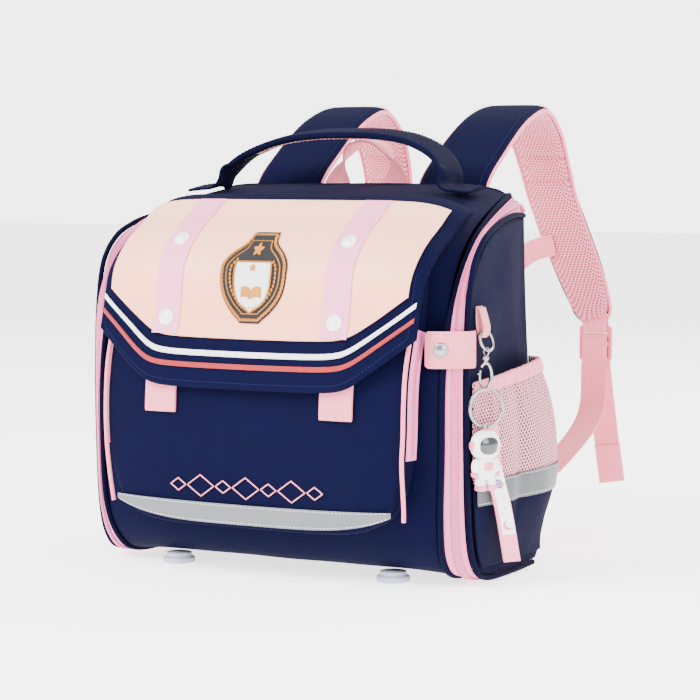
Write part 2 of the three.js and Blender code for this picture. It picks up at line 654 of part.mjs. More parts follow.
function makeHandles() {
  const z = overWrap(HANDLE_HALF_SPAN, stationNear(HANDLE_Y), 0).z;
  const seat = z + HANDLE_THICKNESS / 2 + 1.2;
  const crest = z + HANDLE_RISE;
  const arch = (x, rise) => [x, HANDLE_Y + HANDLE_LEAN * rise, lerp(seat, crest, rise)];
  const half = [
    [HANDLE_HALF_SPAN + 26, HANDLE_Y, seat - 1.4],
    [HANDLE_HALF_SPAN + 12, HANDLE_Y, seat],
    [HANDLE_HALF_SPAN + 2, HANDLE_Y, seat + 1.5],
    arch(HANDLE_HALF_SPAN - 4, 0.3),
    arch(0.84 * HANDLE_HALF_SPAN, 0.6),
    arch(0.58 * HANDLE_HALF_SPAN, 0.87),
    arch(0.29 * HANDLE_HALF_SPAN, 0.98),
  ];
  const points = [...half, arch(0, 1), ...half.map(([x, y, h]) => [-x, y, h]).reverse()];
  const strap = (t) => band(HANDLE_WIDTH, lerp(2.4, HANDLE_THICKNESS, smoothstep(0.5 - Math.abs(t - 0.5), 0.06, 0.16)));
  add("carry_handle", sweep(curve(points), 25, () => V(0, 1, 0.14), strap), "navyTrim");

  const foot = 0.915 * BODY_HEIGHT;
  const neck = 1.03 * BODY_HEIGHT;
  const y = 2 * GAP + WEBBING_THICKNESS / 2;
  const loop = [
    [LOOP_HALF_SPAN, y, foot],
    [LOOP_HALF_SPAN, y, neck - 12],
    [LOOP_HALF_SPAN - 3, y + 2, neck + 4],
    [LOOP_HALF_SPAN / 2, y + 4, lerp(neck, LOOP_TOP_Z, 0.85)],
  ];
  const ends = [...loop, [0, y + 4, LOOP_TOP_Z], ...loop.map(([x, b, c]) => [-x, b, c]).reverse()];
  const twist = (t) => {
    const turn = (Math.PI / 2) * smoothstep(0.5 - Math.abs(t - 0.5), 0.12, 0.42);
    const path = t < 0.5 ? 1 : -1;
    const flat = V(path * Math.cos(turn), -Math.sin(turn) * path, 0);
    return t === 0.5 ? V(0, -1, 0) : flat.multiplyScalar(path);
  };
  add("hang_loop", sweep(curve(ends), 20, twist, web(WEBBING_WIDTH - 4, WEBBING_THICKNESS)), "pink");
}

// The station of the top panel at a depth y.
const stationNear = (y) => meet((s) => overWrap(0, s, 0).y, y, 0, 0.5);

// The middle line of the right shoulder strap, from the back panel's top over the peak and down.
// across is a share of the way from STRAP_X to STRAP_END_X, back of STRAP_REACH,
// up of the way from STRAP_END_Z to STRAP_PEAK_Z, and width of STRAP_WIDTH.
const STRAP = [
  { across: 0.0, back: 0.036, up: 0.5, width: 1.0 },
  { across: 0.0, back: 0.038, up: 0.64, width: 1.0 },
  { across: 0.0, back: 0.21, up: 0.8, width: 1.0 },
  { across: 0.0, back: 0.46, up: 0.955, width: 0.97 },
  { across: 0.0, back: 0.66, up: 1.0, width: 0.94 },
  { across: 0.0, back: 0.83, up: 0.9, width: 0.86 },
  { across: 0.02, back: 0.93, up: 0.74, width: 0.78 },
  { across: 0.12, back: 0.985, up: 0.56, width: 0.74 },
  { across: 0.46, back: 1.0, up: 0.34, width: 0.72 },
  { across: 0.82, back: 1.0, up: 0.13, width: 0.68 },
  { across: 1.0, back: 1.0, up: 0.0, width: 0.56 },
];
const strapPoint = (row) => [
  lerp(STRAP_X, STRAP_END_X, row.across),
  row.back * STRAP_REACH,
  lerp(STRAP_END_Z, STRAP_PEAK_Z, row.up),
];

function makeStraps() {
  const path = curve(STRAP.map(strapPoint));
  const section = (t) => band(STRAP_WIDTH * read(STRAP, "width", t), STRAP_THICKNESS, 0.34);
  addPair("shoulder_strap", sweep(path, 22, () => V(1, 0, 0), section), "navy");

  const [x, y, z] = strapPoint(STRAP.at(-1));
  const lockHeight = 32;
  const lock = new THREE.Shape(rectangle(STRAP_WEB_WIDTH + 9, lockHeight));
  [0.24, -0.24].forEach((share) => {
    const slot = rectangle(STRAP_WEB_WIDTH + 1, 9).map((p) => p.add(new THREE.Vector2(0, share * lockHeight)));
    lock.holes.push(new THREE.Path(slot));
  });
  const lockBody = new THREE.ExtrudeGeometry(lock, { depth: 3, bevelEnabled: false });
  const lockZ = z - lockHeight / 2 - 7.5;
  lockBody.rotateX(Math.PI / 2).translate(x + 1, y + 1.5, lockZ);
  addPair("ladder_lock", lockBody, "pinkPlastic");

  const low = z - lockHeight - 4.5;
  const bar = lockZ + 0.11 * lockHeight;
  const off = 1.5 + 0.9 + GAP + 0.6;
  const anchor = [
    [x + 15, GAP + 1.4, 104],
    [x + 15, GAP + 1.6, 82],
    [x + 15, GAP + 5, 68],
    [x + 15, 26, 62],
    [x + 18, 0.5 * STRAP_REACH, 86],
    [x + 10, 0.86 * STRAP_REACH, 0.72 * low],
    [x + 1.5, y - off - 2.4, low - 8],
    [x + 1, y - off - 0.2, bar - 16],
    [x + 1, y - off, bar - 6],
    [x + 1, y - off, bar + 2],
    [x + 1, y, bar + 5.2],
    [x + 1, y + off, bar + 2],
    [x + 1, y + off, bar - 6],
    [x + 1.5, y + off + 0.6, low - 4],
    [x + 9, y + 7, 0.55 * low],
    [x + 16, y + 6, 46],
  ];
  addPair("strap_web", sweep(curve(anchor, true), 2.5 * (anchor.length - 1), () => V(1, 0, 0), web(STRAP_WEB_WIDTH, 1.8)), "pink");

  const clear = STRAP_THICKNESS / 2 + GAP + 0.2;
  const chest = [
    [STRAP_X + 8, STRAP_REACH - clear - 1.5, CHEST_STRAP_Z + 22],
    [STRAP_X - 14, STRAP_REACH - clear - 1, CHEST_STRAP_Z + 16],
    [40, STRAP_REACH - 12, CHEST_STRAP_Z - 4],
    [16, STRAP_REACH - 14, CHEST_STRAP_Z - 14],
  ];
  const all = [...chest, ...chest.map(([a, b, c]) => [-a, b, c]).reverse()];
  add("chest_strap", sweep(curve(all), 24, () => V(0, 0, 1), web(20, 1.8)), "pink");
  const buckle = new THREE.BoxGeometry(44, 8, 27, 1, 1, 1);
  buckle.translate(0, STRAP_REACH - 14 - 4 - 0.9 - GAP - 0.4, CHEST_STRAP_Z - 15);
  add("chest_buckle", buckle, "pinkPlastic");
}

function rectangle(width, height) {
  const [w, h] = [width / 2, height / 2];
  return [[-w, -h], [w, -h], [w, h], [-w, h]].map((p) => new THREE.Vector2(...p));
}

// A flat shape in the YZ plane, from a (y, z) outline, thickened along x about x = 0.
function sideways(outline, holes, thickness) {
  const shape = new THREE.Shape(outline);
  holes.forEach((h) => shape.holes.push(new THREE.Path(h)));
  const body = new THREE.ExtrudeGeometry(shape, { depth: thickness, bevelEnabled: false });
  const stand = new THREE.Matrix4().makeBasis(V(0, 1, 0), V(0, 0, 1), V(1, 0, 0));
  return body.applyMatrix4(stand).translate(-thickness / 2, 0, 0);
}

function makeCharm() {
  const s = meet((t) => frontSeam(t).z, HARDWARE_Z);
  const seam = frontSeam(s);
  const side = sideSeam(s);
  const rise = PIPING_RADIUS + GAP + 1.8;
  const tab = [
    [seam.x - 13, seam.y - 8.8, HARDWARE_Z],
    [seam.x - 4, seam.y - rise - 4, HARDWARE_Z],
    [seam.x + 4, seam.y - rise + 0.6, HARDWARE_Z],
    [(seam.x + side.x) / 2 + 3.6, (seam.y + side.y) / 2 - 4.6, HARDWARE_Z],
    [side.x + rise - 0.4, side.y - 2, HARDWARE_Z],
    [side.x + rise, side.y + 3, HARDWARE_Z],
    [side.x + 2.2, side.y + 9, HARDWARE_Z],
  ];
  const tabPath = curve(tab);
  add("snap_tab", sweep(tabPath, 14, () => V(0, 0, 1), web(WEBBING_WIDTH, 1.6)), "pink");
  const button = dome([[0, 0], [1, 0], [1, 0.35], [0.7, 0.85], [0, 1]], 6, 2.6, 12);
  button.rotateX(Math.PI / 2).rotateZ(0.5).translate(seam.x + 0.4, seam.y - rise - 3.1, HARDWARE_Z);
  add("tab_button", button, "steel");

  const top = HARDWARE_Z + 20;
  const hangY = side.y + 19;
  const loopX = sideFace(hangY, top) + GAP + 1;
  const loop = [
    [loopX, hangY, top + 14],
    [loopX, hangY, top + 2],
    [loopX + 0.8, hangY, top - 5],
    [loopX + 3.8, hangY, top - 11],
    [loopX + 6.8, hangY, top - 5],
    [loopX + 5.4, hangY, top + 3],
    [loopX + 2.2, hangY, top + 13],
  ];
  add("dring_loop", sweep(curve(loop), 16, () => V(0, 1, 0), web(12, 1.2)), "pink");

  // What hangs below faces outwards and forwards, a little in front of the loop.
  const hang = (geometry, out, forward, z) =>
    geometry.rotateZ(-HANG_TURN).translate(loopX + out, hangY - forward, z);
  const dringZ = top - 5.2 - D_RING_RADIUS;
  const lean = 0.3;
  const dring = ringOf(1.25 * D_RING_RADIUS, D_RING_RADIUS, RING_WIRE, 14, 5).rotateY(-lean);
  const line = 3.9 + 2 * D_RING_RADIUS * Math.sin(lean);
  add("dring", dring.translate(loopX + (3.9 + line) / 2, hangY, dringZ), "steel");

  const stemTop = dringZ - D_RING_RADIUS * Math.cos(lean) - RING_WIRE - GAP;
  const claspZ = stemTop - CLASP_STEM - CLASP_HEIGHT / 2;
  const open = 0.75;
  const stem = [[-2, 0.5], [-2, 0.5 + CLASP_STEM / CLASP_HEIGHT], [2, 0.5 + CLASP_STEM / CLASP_HEIGHT], [2, 0.5]];
  const body = [
    ...ovalArc(1, -Math.PI + open, 0.42 * Math.PI, 14),
    ...stem.reverse().map(([y, z]) => new THREE.Vector2(y, z * CLASP_HEIGHT)),
    ...ovalArc(1, 0.58 * Math.PI, Math.PI - open, 5),
    ...ovalArc(CLASP_BORE, Math.PI - open, -Math.PI + open, 16),
  ];
  add("clasp", hang(sideways(body, [], 3), line, 0, claspZ), "steel");
  const play = 0.24;
  const foot = 0.08; // more room where the lever turns
  const gate = [
    ...ovalArc(0.92, Math.PI - open + play, Math.PI + open - foot, 6),
    ...ovalArc(CLASP_BORE + 0.06, Math.PI + open - foot, Math.PI - open + play, 6),
  ];
  add("clasp_gate", hang(sideways(gate, [], 2.2), line, 0, claspZ), "steel");

  const ringZ = claspZ - CLASP_HEIGHT / 2 - GAP - 0.1 - RING_WIRE - RING_RADIUS;
  add("key_ring", hang(ringOf(RING_RADIUS, RING_RADIUS, RING_WIRE, 18, 5), line + 3, 1, ringZ), "steel");

  const ringFoot = ringZ - RING_RADIUS - RING_WIRE - GAP;
  add("charm_figure", hang(spaceman(), line + 6.5, 4, ringFoot - CHARM_HEIGHT / 2), "white");
  const tag = [
    [loopX + line + 0.75, hangY + 0.3, ringFoot + 3],
    [loopX + line + 2, hangY + 4, ringFoot - 30],
    [loopX + line + 6, hangY + 14, ringFoot - 65],
    [loopX + line + 9, hangY + 26, ringFoot - TAG_LENGTH],
  ];
  const facing = () => V(Math.sin(HANG_TURN), Math.cos(HANG_TURN), 0);
  add("charm_tag", sweep(curve(tag), 10, facing, web(17, 2)), "pink");
}

// An arc of the clasp's oval, at a share of its outer size, from one angle to another.
function ovalArc(share, from, to, steps) {
  return span(steps).map((t) => {
    const a = lerp(from, to, t);
    return new THREE.Vector2(
      0.5 * CLASP_WIDTH * share * Math.cos(a),
      0.5 * CLASP_HEIGHT * (1 - (1 - share) * CLASP_WIDTH / CLASP_HEIGHT) * Math.sin(a),
    );
  });
}

// A closed round wire in the YZ plane.
function ringOf(halfWidth, halfHeight, wire, steps, sides) {
  const path = (t) => {
    const a = t * 2 * Math.PI;
    return V(0, halfWidth * Math.cos(a), halfHeight * Math.sin(a));
  };
  return sweep(path, steps, () => V(1, 0, 0), round(wire, sides), true);
}

// A small moulded spaceman: one outline with a round helmet, a body, arms and boots.
function spaceman() {
  const half = [[0, 0.5], [0.14, 0.47], [0.23, 0.38], [0.26, 0.24], [0.22, 0.1], [0.15, 0.02], [0.22, -0.02],
    [0.28, -0.12], [0.25, -0.2], [0.18, -0.18], [0.19, -0.3], [0.2, -0.46], [0.18, -0.5], [0.05, -0.5], [0.03, -0.34]];
  const points = [...half, ...half.slice(1).map(([y, z]) => [-y, z]).reverse()];
  return sideways(points.map(([y, z]) => new THREE.Vector2(y, z).multiplyScalar(CHARM_HEIGHT)), [], 10);
}

function makeFeet() {
  const wrap = bag.getObjectByName("body_wrap");
  const profile = [[0, 0], [0.9, 0], [1, 0.12], [1, 0.5], [0.8, 0.62], [0.8, 1], [0, 1]];
  [["front", FOOT_FRONT_Y], ["rear", FOOT_REAR_Y]].forEach(([name, y]) => {
    const rim = span(12).map((t) => [
      FOOT_INSET + 0.8 * FOOT_RADIUS * Math.cos(t * 2 * Math.PI),
      y + 0.8 * FOOT_RADIUS * Math.sin(t * 2 * Math.PI),
    ]);
    const above = ([x, at]) => new THREE.Raycaster(V(x, at, -1), V(0, 0, 1)).intersectObject(wrap)[0].point.z;
    const height = Math.min(...rim.map(above), above([FOOT_INSET, y])) - GAP;
    addPair("foot_" + name, dome(profile, FOOT_RADIUS, height, 12).translate(FOOT_INSET, y, 0), "plastic");
  });
}

makeBody();
makePocket();
makeFlap();
makeSidePockets();
makeHandles();
makeStraps();
makeCharm();
makeFeet();

const part = new THREE.Group();
part.add(bag);
const box = new THREE.Box3().setFromObject(bag, true);
bag.position.set(-(box.min.x + box.max.x) / 2, -(box.min.y + box.max.y) / 2, 0);

export default part;
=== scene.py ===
# %% [markdown]
# # A child's school ransel
# A ransel is a stiff backpack: a foam-backed cloth box, closed by zips along both sides, with a broad
# flap over a front pocket. It comes to life through its layers, so every layer here is a surface of its
# own: cloth, tape, coil, piping, webbing, mesh and stitches, each with the finish of the real stuff.
# All measures below are millimetres with y = 0 at the back panel; one function turns them to metres.

import bmesh
import bpy
import numpy as np
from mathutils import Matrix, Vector


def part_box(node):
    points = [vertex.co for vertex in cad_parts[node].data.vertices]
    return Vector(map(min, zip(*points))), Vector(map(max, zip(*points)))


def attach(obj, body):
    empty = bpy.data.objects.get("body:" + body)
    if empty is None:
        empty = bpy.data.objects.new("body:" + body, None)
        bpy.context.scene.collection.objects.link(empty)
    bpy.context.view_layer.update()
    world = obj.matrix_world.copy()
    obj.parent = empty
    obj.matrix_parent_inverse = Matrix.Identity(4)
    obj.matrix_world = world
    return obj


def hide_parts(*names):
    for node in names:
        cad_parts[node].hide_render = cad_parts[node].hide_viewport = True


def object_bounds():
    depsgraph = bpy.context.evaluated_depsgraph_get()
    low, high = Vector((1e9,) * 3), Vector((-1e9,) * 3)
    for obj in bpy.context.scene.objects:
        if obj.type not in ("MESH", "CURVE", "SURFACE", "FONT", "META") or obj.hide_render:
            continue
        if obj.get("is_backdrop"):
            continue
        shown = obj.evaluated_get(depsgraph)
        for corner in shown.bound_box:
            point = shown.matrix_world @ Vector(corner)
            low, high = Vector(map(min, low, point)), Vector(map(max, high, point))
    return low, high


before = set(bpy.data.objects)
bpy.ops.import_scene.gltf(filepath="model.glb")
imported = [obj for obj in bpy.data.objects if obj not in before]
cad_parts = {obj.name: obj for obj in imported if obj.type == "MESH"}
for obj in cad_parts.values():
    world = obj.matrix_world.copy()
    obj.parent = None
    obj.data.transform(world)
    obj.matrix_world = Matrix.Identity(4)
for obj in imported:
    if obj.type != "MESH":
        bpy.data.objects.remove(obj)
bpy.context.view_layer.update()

MIDDLE = np.array([-3.1467, -4.0158, 0.0])  # what centres the bag on its bounding box
BODY_DEPTH = 171
BODY_HEIGHT = 326
FRONT_HALF_WIDTH = 165
SIDE_HALF_WIDTH = 180
BACK_TOP_HALF_WIDTH = 157
BACK_BOTTOM_HALF_WIDTH = 176
CROWN = 36
BACK_SEAM = -6.3
PIPING_RADIUS = 2.3
SEAM_CLEARANCE = 2.8
WRAP_LENGTH = 640


def to_metres(points):
    """Millimetres of the bag to metres of the frame: moved by MIDDLE, then divided by a thousand."""
    return (np.asarray(points, float) + MIDDLE) * 0.001


# %% [markdown]
# ## The camera, the floor and the light
# The camera takes the photograph's own viewpoint. The lens was worked out from pairs of mirrored
# features, so it is a long one from 2.2 m away, a little above the bag and to its right. The bag
# was lit by large soft lamps on white, so a bright world and three broad lamps are enough. The world
# is brighter for rays straight from the lens than for light on the bag, which gives a white backdrop.

# %% Camera, floor and lamps
AZIMUTH = np.radians(29.34)
ELEVATION = np.radians(4.29)
CAMERA_AT = [1112.6, -2006.8, 351.0]

camera_data = bpy.data.cameras.new("photo_lens")
camera_data.lens = 36 * 2585 / 700
camera_data.sensor_width = 36
camera_data.clip_end = 50
camera = bpy.data.objects.new("camera", camera_data)
bpy.context.scene.collection.objects.link(camera)
flat_share = np.cos(ELEVATION)
looking = Vector((-np.sin(AZIMUTH) * flat_share, np.cos(AZIMUTH) * flat_share, -np.sin(ELEVATION)))
camera.location = to_metres(CAMERA_AT)
camera.rotation_mode = "QUATERNION"
camera.rotation_quaternion = looking.to_track_quat("-Z", "Y")
bpy.context.scene.camera = camera


def lamp(name, at, size, power, tint=(1, 1, 1)):
    """A square lamp of a size in metres that faces the middle of the bag."""
    data = bpy.data.lights.new(name, "AREA")
    data.size = size
    data.energy = power
    data.color = tint
    made = bpy.data.objects.new(name, data)
    made.location = at
    made.rotation_mode = "QUATERNION"
    made.rotation_quaternion = (Vector((0, 0, 0.18)) - Vector(at)).to_track_quat("-Z", "Y")
    bpy.context.scene.collection.objects.link(made)


lamp("key", (-1.0, -1.9, 1.9), 1.6, 185)
lamp("fill", (1.9, -0.9, 1.1), 1.5, 60)
lamp("rim", (0.6, 1.7, 1.7), 1.2, 60)
world = bpy.data.worlds.new("studio")
world.use_nodes = True
lit_by = world.node_tree.nodes["Background"]
lit_by.inputs["Color"].default_value = (1, 1, 1, 1)
lit_by.inputs["Strength"].default_value = 1.5
seen = world.node_tree.nodes.new("ShaderNodeBackground")
seen.inputs["Color"].default_value = (1, 1, 1, 1)
seen.inputs["Strength"].default_value = 4.6
either = world.node_tree.nodes.new("ShaderNodeMixShader")
ray = world.node_tree.nodes.new("ShaderNodeLightPath")
world.node_tree.links.new(ray.outputs["Is Camera Ray"], either.inputs[0])
world.node_tree.links.new(lit_by.outputs[0], either.inputs[1])
world.node_tree.links.new(seen.outputs[0], either.inputs[2])
world.node_tree.links.new(either.outputs[0], world.node_tree.nodes["World Output"].inputs["Surface"])
bpy.context.scene.world = world
print("camera at", [round(v, 3) for v in camera.location], "with a lens of", round(camera_data.lens, 1))

# %% [markdown]
# ## Shader sums that read like sums
# A weave is a product of two waves, a hole a distance below a limit. Written as nodes one by one that
# is hard to read, so a small class wraps a socket: adding or multiplying two of them adds the Math
# node. A second class holds one material and hands out the nodes that are needed most.


# %% The two shader classes
def feed(tree, socket, value):
    """A number or colour sets the socket; a wire is linked to it."""
    if isinstance(value, Wire):
        tree.links.new(value.socket, socket)
    else:
        socket.default_value = value


class Wire:
    """A shader value that can be added, multiplied and compared; each step is one Math node."""

    def __init__(self, tree, socket):
        self.tree = tree
        self.socket = socket

    def calc(self, operation, *others):
        node = self.tree.nodes.new("ShaderNodeMath")
        node.operation = operation
        for slot, value in zip(node.inputs, (self, *others)):
            feed(self.tree, slot, value)
        return Wire(self.tree, node.outputs[0])

    def __add__(self, other):
        return self.calc("ADD", other)

    def __sub__(self, other):
        return self.calc("SUBTRACT", other)

    def __mul__(self, other):
        return self.calc("MULTIPLY", other)

    def __truediv__(self, other):
        return self.calc("DIVIDE", other)

    def __rsub__(self, other):
        return self.calc("MULTIPLY", -1.0).calc("ADD", other)

    __radd__ = __add__
    __rmul__ = __mul__

    def wave(self, pitch):
        """A sine from 0 to 1 that repeats each pitch."""
        return self.calc("MULTIPLY", 2 * np.pi / pitch).calc("SINE") * 0.5 + 0.5

    def between(self, low, high):
        """0 below low, 1 above high, smooth from one to the other."""
        node = self.tree.nodes.new("ShaderNodeMapRange")
        node.interpolation_type = "SMOOTHSTEP"
        feed(self.tree, node.inputs["Value"], self)
        node.inputs["From Min"].default_value = low
        node.inputs["From Max"].default_value = high
        return Wire(self.tree, node.outputs["Result"])


class Finish:
    """One material: fixed values go to the shader's sockets, nodes are made by node()."""

    def __init__(self, name, **fixed):
        self.material = bpy.data.materials.new(name)
        self.material.use_nodes = True
        self.tree = self.material.node_tree
        self.shader = self.tree.nodes["Principled BSDF"]
        for socket, value in fixed.items():
            self.shader.inputs[socket.replace("_", " ")].default_value = value

    def node(self, kind, settings=None, output=0, **inputs):
        node = self.tree.nodes.new("ShaderNode" + kind)
        for key, value in (settings or {}).items():
            setattr(node, key, value)
        for key, value in inputs.items():
            feed(self.tree, node.inputs[key.replace("_", " ")], value)
        return Wire(self.tree, node.outputs[output])

    def weave(self):
        """The piece's own cloth coordinates, across and along, in millimetres."""
        uv = self.node("UVMap", {"uv_map": "weave"})
        parts = self.node("SeparateXYZ", Vector=uv)
        along = Wire(self.tree, parts.socket.node.outputs["Y"])
        return parts * 1000.0, along * 1000.0

    def height(self):
        """Metres above the floor."""
        coords = self.node("TexCoord", output="Object")
        parts = self.node("SeparateXYZ", Vector=coords)
        return Wire(self.tree, parts.socket.node.outputs["Z"])

    def noise(self, scale, detail=2.0):
        """A cloudy value round 0.5, with this many clouds to the metre."""
        coords = self.node("TexCoord", output="Object")
        return self.node("TexNoise", Vector=coords, Scale=scale, Detail=detail)

    def mix(self, share, first, second):
        node = self.tree.nodes.new("ShaderNodeMix")
        node.data_type = "RGBA"
        feed(self.tree, node.inputs[0], share)
        for slot, value in ((6, first), (7, second)):
            feed(self.tree, node.inputs[slot], value if isinstance(value, Wire) else (*value, 1))
        return Wire(self.tree, node.outputs[2])

    def done(self, colour, roughness=None, relief=None, depth=0.1, strength=1.0):
        """Links the colour and roughness, and the relief in millimetres of depth as bump."""
        feed(self.tree, self.shader.inputs["Base Color"], colour)
        if roughness is not None:
            feed(self.tree, self.shader.inputs["Roughness"], roughness)
        if relief is not None:
            bump = self.node("Bump", Height=relief, Distance=depth * 0.001, Strength=strength)
            feed(self.tree, self.shader.inputs["Normal"], bump)
        return self.material


print("shader classes ready")

# %% [markdown]
# ## Cloths
# The navy is polyester with fine upright ribs and a slight cloudiness from its coating. Webbing has
# bold ribs along its length, satin ribbon has fine ones across, and air mesh is a springy lattice whose
# round holes show what lies behind, under painted shade. Each is a sum of waves in the cloth's own
# coordinates.

# %% Cloth finishes
def ribbed_cloth(name, light, dark, pitch, depth, sheen=0.008):
    """Plain cloth: upright ribs times a finer cross wave, with clouds in the colour."""
    finish = Finish(name, Sheen_Weight=sheen, Sheen_Roughness=0.5, Specular_IOR_Level=0.03)
    across, along = finish.weave()
    ribs = across.wave(pitch)
    threads = along.wave(pitch * 0.8)
    clouds = finish.noise(60.0, 4.0)
    share = ribs * 0.35 + threads * 0.15 + clouds * 0.5
    colour = finish.mix(share, dark, light)
    return finish.done(colour, 0.62 + clouds * 0.2, ribs * 0.7 + threads * 0.3, depth)


def webbing(name, light, dark, pitch=1.7, depth=0.35):
    """Ribs along the length, each broken by the weft that crosses it."""
    finish = Finish(name, Sheen_Weight=0.2, Specular_IOR_Level=0.25)
    across, along = finish.weave()
    ribs = across.wave(pitch)
    weft = (along + across * 0.5).wave(1.2)
    clouds = finish.noise(90.0)
    colour = finish.mix(ribs * 0.55 + weft * 0.2 + clouds * 0.25, dark, light)
    return finish.done(colour, 0.7 + weft * 0.1, ribs * 0.75 + weft * 0.25, depth)


def satin(name, light, dark):
    """Fine ribs across a ribbon, with cloudy brighter patches as painted highlights of folds."""
    finish = Finish(name, Sheen_Weight=0.1, Specular_IOR_Level=0.3)
    across, along = finish.weave()
    ribs = along.wave(0.9)
    clouds = finish.noise(70.0)
    # The clouds brighten the ribbon in patches: a painted highlight, as where a fold catches light.
    colour = finish.mix(ribs * 0.4 + clouds * 0.6, dark, light)
    return finish.done(colour, 0.42 + ribs * 0.15, ribs, 0.08)


def air_mesh(name, thread, shaded, hole_shade, pitch, hole):
    """Round holes on a staggered lattice: the nearer of two square lattices' centres counts. Holes and rims
    get painted shade.
    """
    finish = Finish(name, Sheen_Weight=0.2, Specular_IOR_Level=0.2)
    across, along = finish.weave()
    distances = []
    for shift in (0.0, 0.5):
        a = ((across / pitch + shift).calc("FRACT") - 0.5) * pitch
        b = ((along / (pitch * 1.5) + shift).calc("FRACT") - 0.5) * (pitch * 1.5)
        distances.append((a * a + b * b).calc("SQRT"))
    distance = distances[0].calc("MINIMUM", distances[1])
    lattice = distance.between(hole * 0.75, hole * 1.2)
    ridge = distance.between(hole, pitch * 0.62)
    clouds = finish.noise(120.0)
    # Near each hole the thread turns to the shaded colour: painted shade on the rim.
    solid = finish.mix(ridge * 0.7 + clouds * 0.3, shaded, thread)
    # The holes take a dark colour: what lies behind, with painted shade.
    colour = finish.mix(lattice, hole_shade, solid)
    return finish.done(colour, 0.8 + clouds * 0.1, lattice * 0.6 + ridge * 0.4, 0.5)


FINISHES = {
    "navy_cloth": ribbed_cloth("navy_cloth", (0.0026, 0.0031, 0.0240), (0.0007, 0.0008, 0.0098), 1.1, 0.16),
    # The sides take a darker copy of the navy cloth: painted shade, as the sides catch less light than the
    # front.
    "navy_side_shade": ribbed_cloth("navy_side_shade", (0.0023, 0.0028, 0.0210), (0.0007, 0.0008, 0.0086), 1.1, 0.16),
    "navy_trim": ribbed_cloth("navy_trim", (0.0023, 0.0028, 0.0200), (0.0006, 0.0007, 0.0076), 0.9, 0.18),
    "navy_thread": ribbed_cloth("navy_thread", (0.016, 0.018, 0.075), (0.008, 0.009, 0.045), 0.6, 0.05),
    "pink_webbing": webbing("pink_webbing", (0.93, 0.27, 0.34), (0.76, 0.16, 0.22)),
    "pink_trim": webbing("pink_trim", (0.93, 0.25, 0.35), (0.78, 0.15, 0.24), 1.0, 0.15),
    "zip_tape": webbing("zip_tape", (0.86, 0.22, 0.44), (0.68, 0.13, 0.31), 1.3, 0.16),
    "pink_ribbon": satin("pink_ribbon", (0.93, 0.33, 0.54), (0.80, 0.23, 0.42)),
    "pocket_mesh": air_mesh(
        "pocket_mesh", (0.95, 0.44, 0.48), (0.74, 0.22, 0.27), (0.045, 0.022, 0.050), 3.6, 1.15
    ),
    "strap_mesh": air_mesh(
        "strap_mesh", (0.93, 0.34, 0.40), (0.74, 0.19, 0.25), (0.30, 0.045, 0.085), 3.4, 0.95
    ),
    "handle_mesh": air_mesh(
        "handle_mesh", (0.90, 0.45, 0.44), (0.70, 0.28, 0.28), (0.25, 0.08, 0.10), 2.8, 0.8
    ),
    "white_braid": webbing("white_braid", (0.92, 0.91, 0.89), (0.72, 0.70, 0.72), 1.3, 0.2),
    "red_braid": webbing("red_braid", (0.36, 0.013, 0.015), (0.24, 0.007, 0.009), 1.3, 0.2),
    "pink_thread": webbing("pink_thread", (0.80, 0.26, 0.34), (0.66, 0.18, 0.25), 0.6, 0.05),
    "ribbon_thread": webbing("ribbon_thread", (0.95, 0.52, 0.68), (0.85, 0.38, 0.55), 0.6, 0.05),
    "grey_thread": webbing("grey_thread", (0.55, 0.56, 0.58), (0.42, 0.43, 0.45), 0.6, 0.05),
}
print(len(FINISHES), "cloth finishes")

# %% [markdown]
# ## Coated sheet, tape, metal and plastic
# The flap's panel is smooth coated sheet that fades from cream at the top to peach at the bottom.
# Reflective tape is grey with tiny glass beads. Moulded and metal parts get faint unevenness, because
# a perfectly even one looks like nothing that was ever made.


# %% Smooth finishes
def coated_sheet():
    """Peach that lightens with height, under a fine grain from a small noise."""
    finish = Finish("peach_sheet", Specular_IOR_Level=0.45, Coat_Weight=0.08, Coat_Roughness=0.3)
    rise = finish.height().between(0.185, 0.325)
    grain = finish.noise(1500.0, 2.0)
    clouds = finish.noise(14.0)
    faded = finish.mix(rise, (1.0, 0.37, 0.22), (1.0, 0.53, 0.37))
    colour = finish.mix(clouds * 0.12, faded, (0.95, 0.36, 0.25))
    return finish.done(colour, 0.40 + grain * 0.12, grain, 0.06)


def beaded_tape(name, light, dark):
    """Reflective tape: small beads in rows over a grey ground."""
    finish = Finish(name, Metallic=0.1, Specular_IOR_Level=0.4)
    across, along = finish.weave()
    beads = across.wave(1.5) * along.wave(1.5)
    clouds = finish.noise(40.0, 3.0)
    colour = finish.mix(beads * 0.35 + clouds * 0.65, dark, light)
    return finish.done(colour, 0.28 + clouds * 0.16, beads, 0.08)


def moulded(name, light, dark, roughness, metallic=0.0, coat=0.0, grain=900.0, depth=0.03):
    """Plastic, rubber or metal: a clouded colour, uneven gloss and a fine skin."""
    finish = Finish(name, Metallic=metallic, Coat_Weight=coat, Coat_Roughness=0.1)
    clouds = finish.noise(110.0, 3.0)
    skin = finish.noise(grain, 2.0)
    colour = finish.mix(clouds, dark, light)
    return finish.done(colour, roughness + clouds * 0.12, skin, depth)


def stitched_thread(name, light, dark, metallic):
    """Satin stitch: close strands across the line."""
    finish = Finish(name, Metallic=metallic, Sheen_Weight=0.03, Specular_IOR_Level=0.3)
    across, along = finish.weave()
    strands = along.wave(0.75)
    clouds = finish.noise(200.0)
    colour = finish.mix(strands * 0.6 + clouds * 0.4, dark, light)
    return finish.done(colour, 0.38 + strands * 0.15, strands, 0.2)


